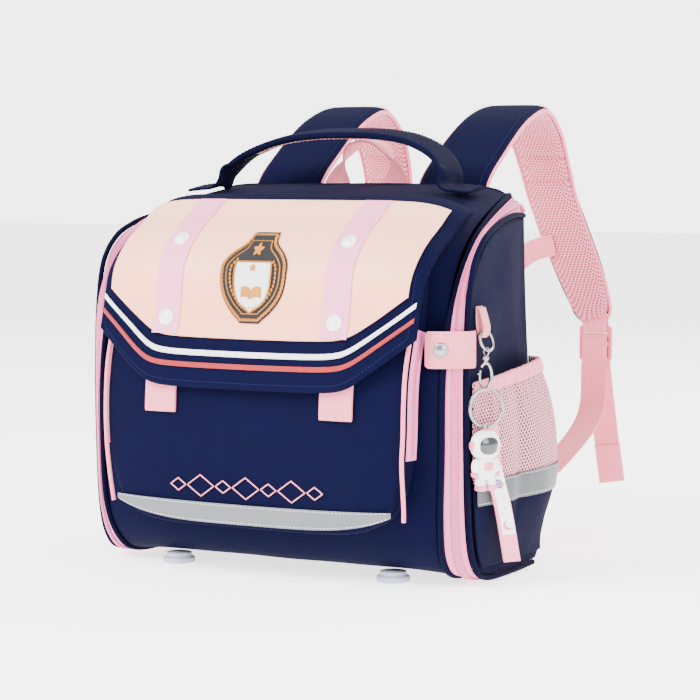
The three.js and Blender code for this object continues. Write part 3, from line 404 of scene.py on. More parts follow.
FINISHES.update({
    "peach_sheet": coated_sheet(),
    "silver_tape": beaded_tape("silver_tape", (0.155, 0.16, 0.17), (0.115, 0.12, 0.13)),
    "grey_tape": beaded_tape("grey_tape", (0.085, 0.088, 0.098), (0.055, 0.058, 0.066)),
    "pearl": moulded("pearl", (0.95, 0.93, 0.93), (0.84, 0.80, 0.83), 0.16, coat=0.6),
    "foot_plastic": moulded("foot_plastic", (0.46, 0.46, 0.56), (0.37, 0.37, 0.47), 0.42, grain=1400.0),
    "pink_plastic": moulded("pink_plastic", (0.88, 0.17, 0.25), (0.74, 0.12, 0.19), 0.30, coat=0.2),
    "zip_coil": moulded("zip_coil", (0.70, 0.13, 0.31), (0.52, 0.08, 0.21), 0.32, coat=0.2),
    "steel": moulded(
        "steel", (0.42, 0.43, 0.46), (0.26, 0.27, 0.29), 0.16, metallic=1.0, grain=700.0, depth=0.02
    ),
    "felt": moulded("felt", (0.005, 0.005, 0.007), (0.002, 0.002, 0.003), 0.8, grain=2600.0, depth=0.25),
    "gold_thread": stitched_thread("gold_thread", (0.70, 0.255, 0.002), (0.36, 0.105, 0.001), 0.0),
    "field_pink": stitched_thread("field_pink", (0.90, 0.26, 0.38), (0.74, 0.16, 0.27), 0.0),
    "field_white": stitched_thread("field_white", (0.92, 0.90, 0.88), (0.74, 0.70, 0.70), 0.0),
    "charm_white": moulded("charm_white", (0.93, 0.92, 0.93), (0.82, 0.80, 0.84), 0.30, coat=0.3),
    "charm_pink": moulded("charm_pink", (0.90, 0.24, 0.34), (0.78, 0.17, 0.26), 0.30, coat=0.3),
    "charm_visor": moulded("charm_visor", (0.022, 0.024, 0.034), (0.008, 0.008, 0.014), 0.05, coat=1.0),
})
print(len(FINISHES), "finishes in all")

# %% [markdown]
# ## Surfaces from numbers
# Cloth has two directions, so a piece of it is a grid of points worked out for two parameters at
# once. Two such grids, one for each face, that meet along their border make a closed slab with
# rounded edges. Tubes and webbing are a section carried along a path. All grids of a piece are put
# into one mesh and welded where they meet, and the lengths along the grid become its weave map.


# %% Grids, slabs and carried sections
def unit(v):
    v = np.asarray(v, float)
    return v / np.maximum(np.linalg.norm(v, axis=-1, keepdims=True), 1e-9)


def running(points, axis):
    """Length along a grid's lines from their first point."""
    steps = np.linalg.norm(np.diff(points, axis=axis), axis=-1)
    zero = np.zeros_like(np.take(steps, [0], axis=axis))
    return np.concatenate([zero, np.cumsum(steps, axis=axis)], axis=axis)


def cloth_map(points):
    """Cloth coordinates of a grid: the running length across and along, in millimetres."""
    return np.stack([running(points, 1), running(points, 0)], -1)


def normals(points):
    """Down times across, the direction that a grid faces."""
    return unit(np.cross(np.gradient(points, axis=0), np.gradient(points, axis=1)))


def shares(count, length, edge=2.0):
    """Shares of a length: even ones inside, and a few close to both ends for the rounded edge."""
    close = edge / length * np.array([0, 0.04, 0.18, 0.5])
    inside = np.linspace(edge / length, 1 - edge / length, count)
    return np.concatenate([close, inside, 1 - close[::-1]])


def slab(points, low, high, edge=None):
    """Two faces at heights low and high over a grid that meet at its border in a quarter ellipse."""
    middle = (low + high) / 2
    half = (high - low) / 2
    edge = np.max(half) if edge is None else edge
    across, along = running(points, 1), running(points, 0)
    near = np.minimum.reduce([across, across[:, -1:] - across, along, along[-1:] - along])
    swell = half * np.sqrt(1 - (1 - np.clip(near / edge, 0, 1)) ** 2)
    out = normals(points)
    weave = cloth_map(points)
    outer = points + out * (middle + swell)[..., None]
    inner = points + out * (middle - swell)[..., None]
    return [(outer, weave), (inner, weave)]


def carried(path, side, section, ring=False):
    """A closed section of (side, up) pairs carried along a path, with flat ends unless it is a ring."""
    path = np.asarray(path, float)
    if ring:
        tangent = unit(np.roll(path, -1, 0) - np.roll(path, 1, 0))
    else:
        tangent = unit(np.gradient(path, axis=0))
    side = np.broadcast_to(np.asarray(side, float), path.shape)
    side = unit(side - (side * tangent).sum(-1, keepdims=True) * tangent)
    up = np.cross(tangent, side)
    section = np.broadcast_to(section, (len(path), *np.shape(section)[-2:]))
    points = path[:, None] + section[..., :1] * side[:, None] + section[..., 1:] * up[:, None]
    points = np.concatenate([points, points[:, :1]], 1)
    if ring:
        points = np.concatenate([points, points[:1]], 0)
        return [(points, cloth_map(points))]
    ends = []
    for k in (0, -1):
        centre = np.broadcast_to(points[k, :-1].mean(0), points[k].shape)
        ends.append(np.stack([points[k], centre]))
    return [(g, cloth_map(g)) for g in (points, *ends)]


def oval(wide, high, count=12, square=1.0):
    """A section between an ellipse (square 1) and a rounded box (towards 0)."""
    a = np.linspace(0, 2 * np.pi, count, endpoint=False)
    pull = lambda v: np.sign(v) * np.abs(v) ** square
    return np.stack([wide * pull(np.cos(a)), high * pull(np.sin(a))], -1)


def turned(profile, centre, axis, count=48):
    """A profile of (radius, height) pairs turned about an axis."""
    axis = unit(axis)
    a = unit(np.cross(axis, [0.3, 0.9, 0.31]))
    b = np.cross(axis, a)
    t = np.linspace(0, 2 * np.pi, count + 1)
    radius, height = np.asarray(profile, float).T
    ring = np.cos(t)[:, None] * a + np.sin(t)[:, None] * b
    points = np.asarray(centre) + radius[:, None, None] * ring + height[:, None, None] * axis
    return [(points, cloth_map(points))]


def blob(centre, half, square=1.0, facing=(1, 0, 0), rows=20, columns=32):
    """An ellipsoid, or a rounded box towards square 0, whose first half size lies along facing."""
    out = unit(facing)
    side = unit(np.cross([0, 0, 1], out))
    a, b = np.meshgrid(np.linspace(0, np.pi, rows), np.linspace(0, 2 * np.pi, columns), indexing="ij")
    pull = lambda v: np.sign(v) * np.abs(v) ** square
    p = half[0] * pull(np.sin(a)) * pull(np.cos(b))
    q = half[1] * pull(np.sin(a)) * pull(np.sin(b))
    r = half[2] * pull(np.cos(a))
    points = np.asarray(centre) + p[..., None] * out + q[..., None] * side
    points = points + r[..., None] * np.array([0, 0, 1])
    return [(points, cloth_map(points))]


def line_through(points, per=24, even=None):
    """A smooth line through points (centripetal Catmull-Rom), even in length if even gives a count."""
    p = np.asarray(points, float)
    p = np.concatenate([[2 * p[0] - p[1]], p, [2 * p[-1] - p[-2]]])
    gaps = np.maximum(np.linalg.norm(np.diff(p, axis=0), axis=-1) ** 0.5, 1e-4)[:, None]
    g0, g1, g2 = gaps[:-2], gaps[1:-1], gaps[2:]
    a, b, c, d = p[:-3], p[1:-2], p[2:-1], p[3:]
    m1 = ((b - a) / g0 - (c - a) / (g0 + g1) + (c - b) / g1) * g1
    m2 = ((c - b) / g1 - (d - b) / (g1 + g2) + (d - c) / g2) * g1
    t = np.linspace(0, 1, per, endpoint=False)[None, :, None]
    b, c, m1, m2 = (v[:, None] for v in (b, c, m1, m2))
    line = b + m1 * t + (3 * (c - b) - 2 * m1 - m2) * t**2 + (2 * (b - c) + m1 + m2) * t**3
    line = np.concatenate([line.reshape(-1, 3), p[-2:-1]])
    return line if even is None else resampled(line, even)


def resampled(line, count):
    """The same line with points at even lengths."""
    length = running(line[:, None], 0)[:, 0]
    at = np.linspace(0, length[-1], count)
    return np.stack([np.interp(at, length, line[:, k]) for k in range(3)], -1)


def stitches(line, out, pitch=3.6, length=2.6, thick=0.42):
    """Short bulging threads along a line, all as one stack of small grids."""
    total = running(line[:, None], 0)[:, 0]
    at = np.arange(pitch / 2, total[-1] - pitch / 2, pitch)
    read_at = lambda values, where: np.stack([np.interp(where, total, values[:, k]) for k in range(3)], -1)
    centre = read_at(line, at)
    ahead = unit(read_at(line, at + 0.6) - read_at(line, at - 0.6))
    up = unit(read_at(np.broadcast_to(out, line.shape), at))
    side = np.cross(ahead, up)
    a, b = np.meshgrid(np.linspace(0, np.pi, 6), np.linspace(0, 2 * np.pi, 7), indexing="ij")
    shape = [np.cos(a) * length / 2, np.sin(a) * np.cos(b) * thick, np.sin(a) * np.sin(b) * thick * 0.8]
    points = sum(
        part[None, ..., None] * axis[:, None, None]
        for part, axis in zip(shape, (ahead, side, up))
    ) + centre[:, None, None]
    weave = np.broadcast_to(np.stack([shape[1], shape[0]], -1), (*points.shape[:3], 2))
    return [(points, weave)]


print("surface helpers ready")

# %% [markdown]
# ## From grids to an object
# One function makes each piece: it joins the grids, welds them, turns the faces outwards, gives the
# material and hides the solids the piece stands for. Pairs are mirrored about the
# bag's middle, and their faces are turned again because a mirror turns a shell inside out.

# %% Making and pairing pieces
made = {}


def piece(name, sheets, finish, *nodes, body="bag", slot=None):
    """One object from grids of points with their cloth coordinates."""
    corners, weaves, quads = [], [], []
    start = 0
    for points, weave in sheets:
        stack = points.reshape(-1, *points.shape[-3:])
        index = start + np.arange(np.prod(stack.shape[:3])).reshape(stack.shape[:3])
        rows = [index[:, :-1, :-1], index[:, 1:, :-1], index[:, 1:, 1:], index[:, :-1, 1:]]
        quads.append(np.stack(rows, -1).reshape(-1, 4))
        corners.append(stack.reshape(-1, 3))
        weaves.append(weave.reshape(-1, 2))
        start += index.size
    quads = np.concatenate(quads)
    mesh = bpy.data.meshes.new(name)
    mesh.from_pydata(to_metres(np.concatenate(corners)).tolist(), [], quads.tolist())
    layer = mesh.uv_layers.new(name="weave")
    layer.data.foreach_set("uv", (np.concatenate(weaves)[quads.ravel()] * 0.001).astype(np.float32).ravel())
    shell = bmesh.new()
    shell.from_mesh(mesh)
    bmesh.ops.remove_doubles(shell, verts=shell.verts, dist=4e-6)
    bmesh.ops.dissolve_degenerate(shell, edges=shell.edges, dist=1e-7)
    bmesh.ops.recalc_face_normals(shell, faces=shell.faces)
    shell.to_mesh(mesh)
    shell.free()
    mesh.shade_smooth()
    mesh.materials.append(FINISHES[finish])
    thing = bpy.data.objects.new(name, mesh)
    bpy.context.scene.collection.objects.link(thing)
    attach(thing, body)
    if nodes:
        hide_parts(*nodes)
    made[name] = len(mesh.polygons)
    return thing


def both(name, sheets, finish, *nodes, slot=None):
    """The right piece as given and the left one as its mirror image."""
    pair = []
    for hand, sign in (("right", 1), ("left", -1)):
        turned_over = [(points * np.array([sign, 1, 1]), weave) for points, weave in sheets]
        pair.append(piece(f"{name}_{hand}", turned_over, finish, *[f"{n}_{hand}" for n in nodes], slot=slot))
    return pair


print("one call makes a piece, one a pair")

# %% [markdown]
# ## The form of the bag
# Two seams run round the box, from the top back edge over the front and under the bottom. A row of
# this table is a station on them; a smooth curve is read through each column. Everything on the
# front is then placed by how far across it is, at which station, and how high above the cloth.

# %% The seams and the wrap's surface
SEAMS = {
    "front_y": [0, 0.263, 0.48, 0.62, 0.76, 0.865, 0.95, 0.995, 1, 0.988, 0.912, 0.76, 0.42, 0],
    "front_z": [
        0.98, 0.948, 0.906, 0.868, 0.802, 0.728, 0.645, 0.516, 0.344, 0.165, 0.066, 0.022, 0.018, 0.021,
    ],
    "wide": [0.873, 0.93, 0.962, 0.978, 0.988, 0.994, 1, 1, 1, 0.988, 0.966, 0.954, 0.948, 0.942],
    "side_y": [0, 0.263, 0.48, 0.63, 0.75, 0.85, 0.895, 0.915, 0.912, 0.888, 0.825, 0.7, 0.39, 0.1],
    "side_z": [0.92, 0.925, 0.912, 0.891, 0.86, 0.8, 0.705, 0.547, 0.344, 0.15, 0.055, 0.018, 0.014, 0.018],
    "crown": [0.25, 0.38, 0.58, 0.72, 0.7, 0.36, -0.06, 0.1, 0.16, 0.12, 0.05, -0.06, -0.11, -0.08],
}


def read(column, t):
    """A column at shares t of its length, as a smooth curve through its values."""
    column = np.asarray(column, float)
    k = np.clip(t, 0, 1) * (len(column) - 1)
    i = np.minimum(np.floor(k).astype(int), len(column) - 2)
    f = k - i
    a, b, c, d = (column[np.clip(i + j, 0, len(column) - 1)] for j in (-1, 0, 1, 2))
    return b + 0.5 * f * (c - a + f * (2 * a - 5 * b + 4 * c - d + f * (3 * (b - c) + d - a)))


def lerp(a, b, t):
    return a + (b - a) * t


def smooth(t, low, high):
    k = np.clip((t - low) / (high - low), 0, 1)
    return k * k * (3 - 2 * k)


def meet(falling, target, low, high):
    """Halving: where a falling function passes the target."""
    target = np.asarray(target, float)
    low = np.full(target.shape, float(low))
    high = np.full(target.shape, float(high))
    for _ in range(30):
        middle = (low + high) / 2
        above = falling(middle) > target
        low, high = np.where(above, middle, low), np.where(above, high, middle)
    return low


def front_seam(s):
    s = np.asarray(s, float)
    return np.stack([
        read(SEAMS["wide"], s) * FRONT_HALF_WIDTH,
        np.minimum(-read(SEAMS["front_y"], s) * BODY_DEPTH, BACK_SEAM),
        read(SEAMS["front_z"], s) * BODY_HEIGHT,
    ], -1)


def back_half_width(z):
    down = np.clip(1 - z / (0.92 * BODY_HEIGHT), 0, 1)
    return lerp(BACK_TOP_HALF_WIDTH, BACK_BOTTOM_HALF_WIDTH, down**1.6)


def side_face(y, z):
    """Half width of the box at a depth and a height."""
    forward = np.clip(-y / (0.915 * BODY_DEPTH), 0, 1)
    return lerp(back_half_width(z), SIDE_HALF_WIDTH, 1 - (1 - forward) ** 2)


def side_seam(s):
    s = np.asarray(s, float)
    y = np.minimum(-read(SEAMS["side_y"], s) * BODY_DEPTH, BACK_SEAM)
    z = read(SEAMS["side_z"], s) * BODY_HEIGHT
    return np.stack([side_face(y, z), y, z], -1)


def outward(s):
    """Straight out of the wrap at a station, in the plane x = 0."""
    step = front_seam(np.minimum(s + 0.01, 1)) - front_seam(np.maximum(s - 0.01, 0))
    return unit(np.stack([0 * step[..., 0], step[..., 2], -step[..., 1]], -1))


def over_wrap(x, s, lift=0.0):
    """The point at x across and station s, lifted off the crowned cloth."""
    x, s, lift = np.broadcast_arrays(np.asarray(x, float), s, lift)
    seam = front_seam(s)
    crown = read(SEAMS["crown"], s) * CROWN * (1 - np.minimum(np.abs(x / seam[..., 0]), 1) ** 9)
    flat = np.stack([x, seam[..., 1], seam[..., 2]], -1)
    return flat + outward(s) * (crown + lift)[..., None]


def station_at(z, x=0.0, lift=lambda x, s: 0.0):
    """The station at which the surface has the height z."""
    z, x = np.broadcast_arrays(np.asarray(z, float), x)
    return meet(lambda s: over_wrap(x, s, lift(x, s))[..., 2], z, 0.12, 0.86)


def ripple(x, s, size):
    """Soft unevenness of foam-backed cloth: three slow waves, never above zero."""
    waves = np.sin(x * 0.045 + 9 * s) + np.sin(x * 0.021 - 31 * s + 1.3) + np.sin(x * 0.083 + 47 * s)
    return size * (waves / 3 - 1) * 0.5


s, u = np.meshgrid(shares(150, WRAP_LENGTH), shares(80, 320) * 2 - 1, indexing="ij")
x = u * (front_seam(s)[..., 0] - SEAM_CLEARANCE)
wrap = over_wrap(x, s, ripple(x, s, 0.9))
piece("wrap", slab(wrap, -3.0, 0.0), "navy_cloth", "body_wrap")
print("wrap:", made["wrap"], "faces")

# %% [markdown]
# ## Zips and pipings along the sides
# The bag opens along a long zip on each side. Its closed coil is two rows of nylon loops, so it is a
# flat tube whose width and height beat once per tooth; a line of bump would vanish at the outline.
# The tapes on both sides are woven, and a corded piping covers each seam.


# %% Zip bands, coils and pipings
def band_point(s, w, lift):
    """The band between the seams: w from the front seam to the side seam, clear of both pipings."""
    a, b = front_seam(s), side_seam(s)
    across = b - a

    def inset(seam):
        along = unit(seam(np.minimum(s + 0.01, 1)) - seam(np.maximum(s - 0.01, 0)))
        return SEAM_CLEARANCE / np.linalg.norm(np.cross(along, across), axis=-1)

    start, end = inset(front_seam), 1 - inset(side_seam)
    out = unit(np.array([1, 0, 0]) + outward(s))
    return a + across * lerp(start, end, w)[..., None] + out * np.asarray(lift)[..., None]


s, w = np.meshgrid(shares(220, WRAP_LENGTH, 1.2), shares(18, 26, 0.8), indexing="ij")
tape_rise = 1.5 * (1 - np.abs(2 * w - 1) ** 1.5) - 0.5 * smooth(np.abs(w - 0.5), 0.17, 0.12)
both("zip_tape", slab(band_point(s, w, tape_rise), -1.4, 0.0), "zip_tape", "zip_band")

s = np.linspace(0.004, 0.996, 2200)
spine = resampled(band_point(s, np.full_like(s, 0.5), np.full_like(s, 1.9)), 2200)
beat = np.sin(np.arange(2200) * 2 * np.pi / 5)
coil = oval(1, 1, 12)[None] * np.stack([3.4 + 0.3 * beat, 1.15 + 0.28 * beat], -1)[:, None]
coil[..., 1] -= 0.35 * np.exp(-((coil[..., 0] / 0.9) ** 2)) * np.sign(coil[..., 1])
both("zip_coil", carried(spine, unit(side_seam(s) - front_seam(s)), coil), "zip_coil", slot="zip_tape")

for name, seam in (("piping_front", front_seam), ("piping_side", side_seam)):
    line = resampled(seam(np.linspace(0.02, 0.985, 260)), 260)
    cord = oval(PIPING_RADIUS, PIPING_RADIUS, 14)
    both(name, carried(line, [1, 0, 0], cord), "navy_trim", name)
print("zip coil:", made["zip_coil_right"], "faces a side")

# %% [markdown]
# ## Sides and back
# The side panels and the back close the box. The side is a disc of cloth set inside its piping, and
# the back is a slab with a quilted air-mesh pad, where sewn channels let air through. Both are rings
# that shrink towards a middle point, so the border keeps its exact outline.


# %% Side panels
def filled(border, centre, count, power=1.0):
    """Rings from a closed border to its centre, as a grid whose last row is one point."""
    k = 1 - np.linspace(0, 1, count) ** power
    closed = np.concatenate([border, border[:1]])
    return centre + (closed[None] - centre) * k[:, None, None], k


t = np.linspace(0, 1, 90)
before, after = side_seam(np.maximum(t - 0.03, 0)), side_seam(np.minimum(t + 0.03, 1))
fold = SEAM_CLEARANCE * (1 + 1.1 * np.exp(-(((t - 0.33) / 0.1) ** 2)))
inward = -unit(np.stack([after[:, 2] - before[:, 2], before[:, 1] - after[:, 1]], -1)) * fold[:, None]
seam_line = side_seam(t)[:, 1:] + inward
seam_line[:, 0] = np.minimum(seam_line[:, 0], BACK_SEAM)
back_line = np.stack([np.full(30, BACK_SEAM), np.linspace(seam_line[0, 1], seam_line[-1, 1], 32)[1:-1]], -1)
from_end = np.abs(back_line[:, 1] - seam_line[-1, 1])
back_line = back_line[::-1] if from_end[0] > from_end[-1] else back_line
border = np.concatenate([seam_line, back_line])
rings, k = filled(border, np.array([-0.42 * BODY_DEPTH, 0.48 * BODY_HEIGHT]), 26)
y, z = rings[..., 0], rings[..., 1]
waves = np.sin(y * 0.07 + z * 0.02) + np.sin(z * 0.05 - y * 0.03)
sag = (0.9 * waves - 1.8) * (1 - k[:, None] ** 6)
outer = np.stack([side_face(y, z) + sag, y, z], -1)
inner = outer - np.array([2.0, 0, 0])
rim = np.stack([outer[0], inner[0]])
weave = np.stack([y, z], -1)
# The side cloth takes the darker navy copy, painted shade.
both("side_cloth", [(outer, weave), (inner, weave), (rim, cloth_map(rim))], "navy_side_shade", "side_panel")
print("side cloth:", made["side_cloth_right"], "faces a side")


# %% The back slab and its quilted pad
def back_border(scale, lowered, count):
    """The box's outline seen from behind, scaled about its middle."""
    u = np.linspace(0.05, 1, 20)
    top = over_wrap(u * front_seam(0.0)[0], np.zeros(20))[:, [0, 2]]
    z = np.linspace(side_seam(0.0)[2], 0.1 * BODY_HEIGHT, 40)
    side = np.stack([back_half_width(z), z], -1)
    low = side_seam(1.0)
    foot = np.array([[low[0] - 2, 0.045 * BODY_HEIGHT], [front_seam(1.0)[0], low[2]]])
    half = np.concatenate([top, side, foot])
    loop = np.concatenate([half, (half * [-1, 1])[::-1], half[:1]])
    middle = BODY_HEIGHT / 2
    lowered_z = middle + (loop[:, 1] - middle) * scale - lowered / 2
    loop = np.stack([loop[:, 0] * scale, 0 * loop[:, 0], lowered_z], -1)
    return resampled(loop, count)[:-1]


def back_slab(scale, lowered, low, high, edge, dent):
    """A slab in the plane of the back whose border is rounded over edge, with dent off its face."""
    border = back_border(scale, lowered, 241)
    centre = border.mean(0)
    grid, k = filled(border, centre, 46, 1.6)
    near = (1 - k)[:, None] * 140 / edge
    swell = np.sqrt(1 - (1 - np.clip(near, 0, 1)) ** 2)
    middle = (low + high) / 2
    x, z = grid[..., 0], grid[..., 2]
    face = middle + (high - middle) * swell - dent(x, z) * swell
    rear = middle + (low - middle) * swell + 0 * x
    weave = np.stack([x, z], -1)
    return [(np.stack([x, y, z], -1), weave) for y in (face, rear)]


def channels(x, z):
    """Sewn channels: one upright between two pads and two curved ones across."""
    groove = lambda d, wide: np.exp(-((d / wide) ** 2))
    upright = groove(x, 6.5)
    bow = 18 * (x / 120) ** 2
    across = groove(z - 205 + bow, 5) + groove(z - 118 - bow, 5)
    return 4.6 * np.clip(upright + across, 0, 1)


plain = lambda x, z: 0.5 + 0.5 * np.sin(x * 0.05) * np.sin(z * 0.04)
piece("back_slab", back_slab(1, 0, -6, 0, 3, plain), "navy_cloth", "back_panel")
pad_skin = back_slab(0.72, 24, 0.3, 7.3, 12, channels)
pad = piece("back_pad_quilted", pad_skin, "strap_mesh", "back_pad", slot="air_mesh")
print("back pad:", made["back_pad_quilted"], "faces")

# %% [markdown]
# ## The front pocket
# The pocket is a shallow tray of the same cloth, sewn on all round: its wall rises steeply and then
# rolls over into the face. Rings with a falling scale and a rising height give that roll. A pink
# piping marks the edge, a zip runs in the side wall, and the tape at the foot reflects light.

# %% Pocket tray
POCKET_HALF_WIDTH = 143
POCKET_DEPTH = 24
POCKET_TOP = 230
POCKET_SHELF = 0.3  # the station where the tray's top runs out under the flap
POCKET_BOTTOM = 43
ROLL = {
    "scale": [1.02, 1.017, 1.013, 1.008, 1.0, 0.985, 0.955, 0.88, 0.7, 0.45, 0.2, 0.0],
    "height": [0.0, 0.32, 0.62, 0.84, 0.955, 0.995, 1.0, 1.0, 1.0, 1.0, 1.0, 1.0],
}


def pocket_lift(x, s=0.0):
    return POCKET_DEPTH - 5 * np.abs(x / POCKET_HALF_WIDTH) ** 6 + 0 * s


def pocket_half_width(z):
    return POCKET_HALF_WIDTH - 9 * smooth(0.42 * BODY_HEIGHT - z, 0, 0.4 * BODY_HEIGHT)


deep = lambda x, s: POCKET_DEPTH
pocket_top = station_at(POCKET_TOP, 0, deep)
pocket_foot = station_at(POCKET_BOTTOM, 0, deep)


def pocket_ring(scale, height, inset):
    """A ring of the tray: its share of the border, and its share of the depth."""
    a = np.linspace(0, 2 * np.pi, 281)
    pull = lambda v: np.sign(v) * np.abs(v) ** 0.32
    across, up = pull(np.sin(a)), pull(np.cos(a))
    s = (POCKET_SHELF + pocket_foot) / 2 - up * (pocket_foot - POCKET_SHELF) / 2 * scale
    half = pocket_half_width(over_wrap(0 * s, s, POCKET_DEPTH)[..., 2]) * scale
    x = across * np.minimum(half, FRONT_HALF_WIDTH - 12)
    dents = ripple(x, s, 1.4) * smooth(height, 0.9, 1.0)
    lift = pocket_lift(x) * height * smooth(s, 0.25, 0.42) + np.where(height > 0.5, -inset, 2.1) + dents
    return over_wrap(x, s, lift), np.stack([x, s * WRAP_LENGTH], -1)


t = np.linspace(0, 1, 60)[:, None]
scale, height = read(ROLL["scale"], t), np.clip(read(ROLL["height"], t), 0, 1)
face = pocket_ring(scale, height, 0.0)
lining = pocket_ring(scale * 0.975, height, 3.0)
rim = np.stack([face[0][0], lining[0][0]])
piece("pocket_tray", [face, lining, (rim, cloth_map(rim))], "navy_cloth", "pocket")
print("pocket tray:", made["pocket_tray"], "faces")

# %% Pocket piping, side zip and its pull
t = np.linspace(0, 1, 170)
s = lerp(lerp(pocket_top, pocket_foot, 0.06), lerp(pocket_top, pocket_foot, 0.93), t)
x = pocket_half_width(over_wrap(0 * s, s, POCKET_DEPTH)[..., 2])
corner = smooth(t, 0.7, 1)
line = over_wrap(x + 3 * corner + 0.6, s, pocket_lift(x) * (1 - 0.3 * corner) + 2.6)
both("pocket_piping", carried(line, [1, 0, 0], oval(1.8, 1.8, 12)), "pink_trim", "pocket_piping")

zip_low = station_at(107, 0, deep)
t, w = np.meshgrid(shares(60, 100, 1), shares(10, 12, 0.8), indexing="ij")
s = lerp(lerp(pocket_top, pocket_foot, 0.1), zip_low, t)
h = lerp(1, 0.12, w)
x = pocket_half_width(over_wrap(0 * s, s, POCKET_DEPTH)[..., 2])
wall = over_wrap(x + lerp(3.2, 0.9, h), s, pocket_lift(x) * h * 0.78 + 1.2)
both("pocket_zip_tape", slab(wall, 0.3, 1.3), "zip_tape", "pocket_zip")
t = np.linspace(0.02, 0.98, 420)
s = lerp(lerp(pocket_top, pocket_foot, 0.1), zip_low, t)
x = pocket_half_width(over_wrap(0 * s, s, POCKET_DEPTH)[..., 2])
line = over_wrap(x + lerp(3.2, 0.9, 0.55) + 1.3, s, pocket_lift(x) * 0.43 + 1.2)
beat = np.sin(np.arange(420) * 2 * np.pi / 5)
teeth = oval(1, 1, 10)[None] * np.stack([0.8 + 0.2 * beat, 1.9 + 0.25 * beat], -1)[:, None]
both("pocket_zip_coil", carried(line, [1, 0, 0], teeth), "zip_coil", slot="zip_tape")
print("pocket trim:", made["pocket_piping_right"], made["pocket_zip_coil_right"], "faces a side")

# %% Reflective tape with its stitching
REFLECTOR_Z = 63
half = min(132, float(pocket_half_width(REFLECTOR_Z)) - 3)


def tape_point(x, share, lift):
    """Share 0 is the nearly straight upper edge and 1 the lower one, which rises towards the ends."""
    high = REFLECTOR_Z + 2 * (x / half) ** 2
    low = REFLECTOR_Z - 17 * (1 - 0.85 * (x / half) ** 4)
    z = lerp(high, low, share)
    return over_wrap(x, station_at(z, x, deep), pocket_lift(x) + lift)


share, x = np.meshgrid(shares(8, 20, 0.5), (shares(110, 264, 0.5) * 2 - 1) * half, indexing="ij")
piece("front_tape", slab(tape_point(x, share, 0.3), 0.25, 1.1), "silver_tape", "reflector_front")
x = np.linspace(-half + 2, half - 2, 200)
rows = []
for share in (0.1, 0.9):
    line = tape_point(x, share, 1.45)
    rows += stitches(line, tape_point(x, share, 2.45) - line)
piece("front_tape_stitches", rows, "grey_thread", slot="silver_tape")
print("tape stitches:", made["front_tape_stitches"], "faces")

# %% [markdown]
# ## A quiet ornament on the pocket
# A row of linked diamonds in thin pink thread is embroidered low on the pocket. Each could be drawn in
# the material, but thread stands up from the cloth, so each is a thin closed cord that follows it.

# %% Outline diamonds
rows = []
for k in range(-3, 4):
    a = np.linspace(0, 2 * np.pi, 48, endpoint=False)
    corner = np.abs(np.cos(a)) + np.abs(np.sin(a))
    wide, high = (13.0, 9.0) if k % 2 == 0 else (7.5, 5.2)
    x = -2 + k * 22 + wide * np.cos(a) / corner
    z = 77 + high * np.sin(a) / corner
    line = over_wrap(x, station_at(z, x, pocket_lift), pocket_lift(x) + 0.25)
    rows += carried(line, [0, -1, 0], oval(0.42, 0.55, 6), ring=True)
piece("pocket_ornament", rows, "pink_thread", slot="pink_trim")
print("ornament:", made["pocket_ornament"], "faces")

# %% [markdown]
# ## The flap
# The flap is foam between two cloths with a turned edge. It rests on the top panel and then steps up
# on the pocket, which is why its height over the wrap is a function of the station. The peach
# panel, two braided stripes, two satin ribbons and the snaps are layers on it.

# %% Flap body
FLAP_HALF_WIDTH = 152
FLAP_THICKNESS = 5
KINK = 95
CHAMFER = 0.79
CORNER_ROUNDING = 12
ON_FLAP = FLAP_THICKNESS + 1.1


def flap_lift(x, s):
    edge = 5 * np.abs(x / FLAP_HALF_WIDTH) ** 6
    return 1.4 + smooth(s, 0.25, 0.42) * (POCKET_DEPTH + 3.4 - edge)


def on_flap(x, s, lift):
    return over_wrap(x, s, flap_lift(x, s) + lift)


def flap_border(z, x, kink=KINK):
    """The station of a border that is level up to the kink and then rises towards the corner."""
    past = np.abs(x) - kink
    return station_at(z + CHAMFER * (past + np.hypot(past, CORNER_ROUNDING)) / 2, x, flap_lift)


def station_at_y(y, x=0.0):
    y, x = np.broadcast_arrays(np.asarray(y, float), x)
    return meet(lambda s: on_flap(x, s, 0.0)[..., 1], y, 0, 0.5)


def flap_grid(columns, rows, top_y, bottom_z, kink=KINK):
    """Columns across, rows as shares of the way from the top line to the lower border."""
    v, x = np.meshgrid(rows, columns, indexing="ij")
    s = lerp(station_at_y(top_y), flap_border(bottom_z, x, kink), v)
    return x, s


columns = (shares(110, 304, 3) * 2 - 1) * FLAP_HALF_WIDTH
x, s = flap_grid(columns, shares(90, 240, 3), -98, 158.5)
quilt = 0.35 * np.exp(-(((np.abs(x) - 145) / 1.6) ** 2))
flap = piece("flap_padded", slab(on_flap(x, s, -quilt), 0.0, FLAP_THICKNESS, 3), "navy_cloth", "flap")
print("flap:", made["flap_padded"], "faces")

# %% Peach panel and braided stripes
PANEL_HALF_WIDTH = 142
columns = (shares(100, 284, 1) * 2 - 1) * PANEL_HALF_WIDTH
x, s = flap_grid(columns, shares(70, 190, 1), -117, 198, KINK - 2)
piece("peach_panel", slab(on_flap(x, s, 0), ON_FLAP - 0.6, ON_FLAP + 1.2), "peach_sheet", "flap_panel")


def stripe(z, kink, wide, high):
    """A flat braid across the flap that follows its lower border."""
    along_x = (shares(150, 298, 0.6) * 2 - 1) * (FLAP_HALF_WIDTH - 3)
    w, x = np.meshgrid(shares(8, wide, 0.6), along_x, indexing="ij")
    s = flap_border(z + (0.5 - w) * wide, x, kink)
    return slab(on_flap(x, s, 0), FLAP_THICKNESS - 0.2, FLAP_THICKNESS + high, 1.0)


piece("white_stripe", stripe(186, KINK - 2, 4.4, 1.9), "white_braid", "flap_stripe_white")
piece("red_stripe", stripe(176.5, KINK + 1, 4.0, 1.8), "red_braid", "flap_stripe_red")
print("panel:", made["peach_panel"], "faces")

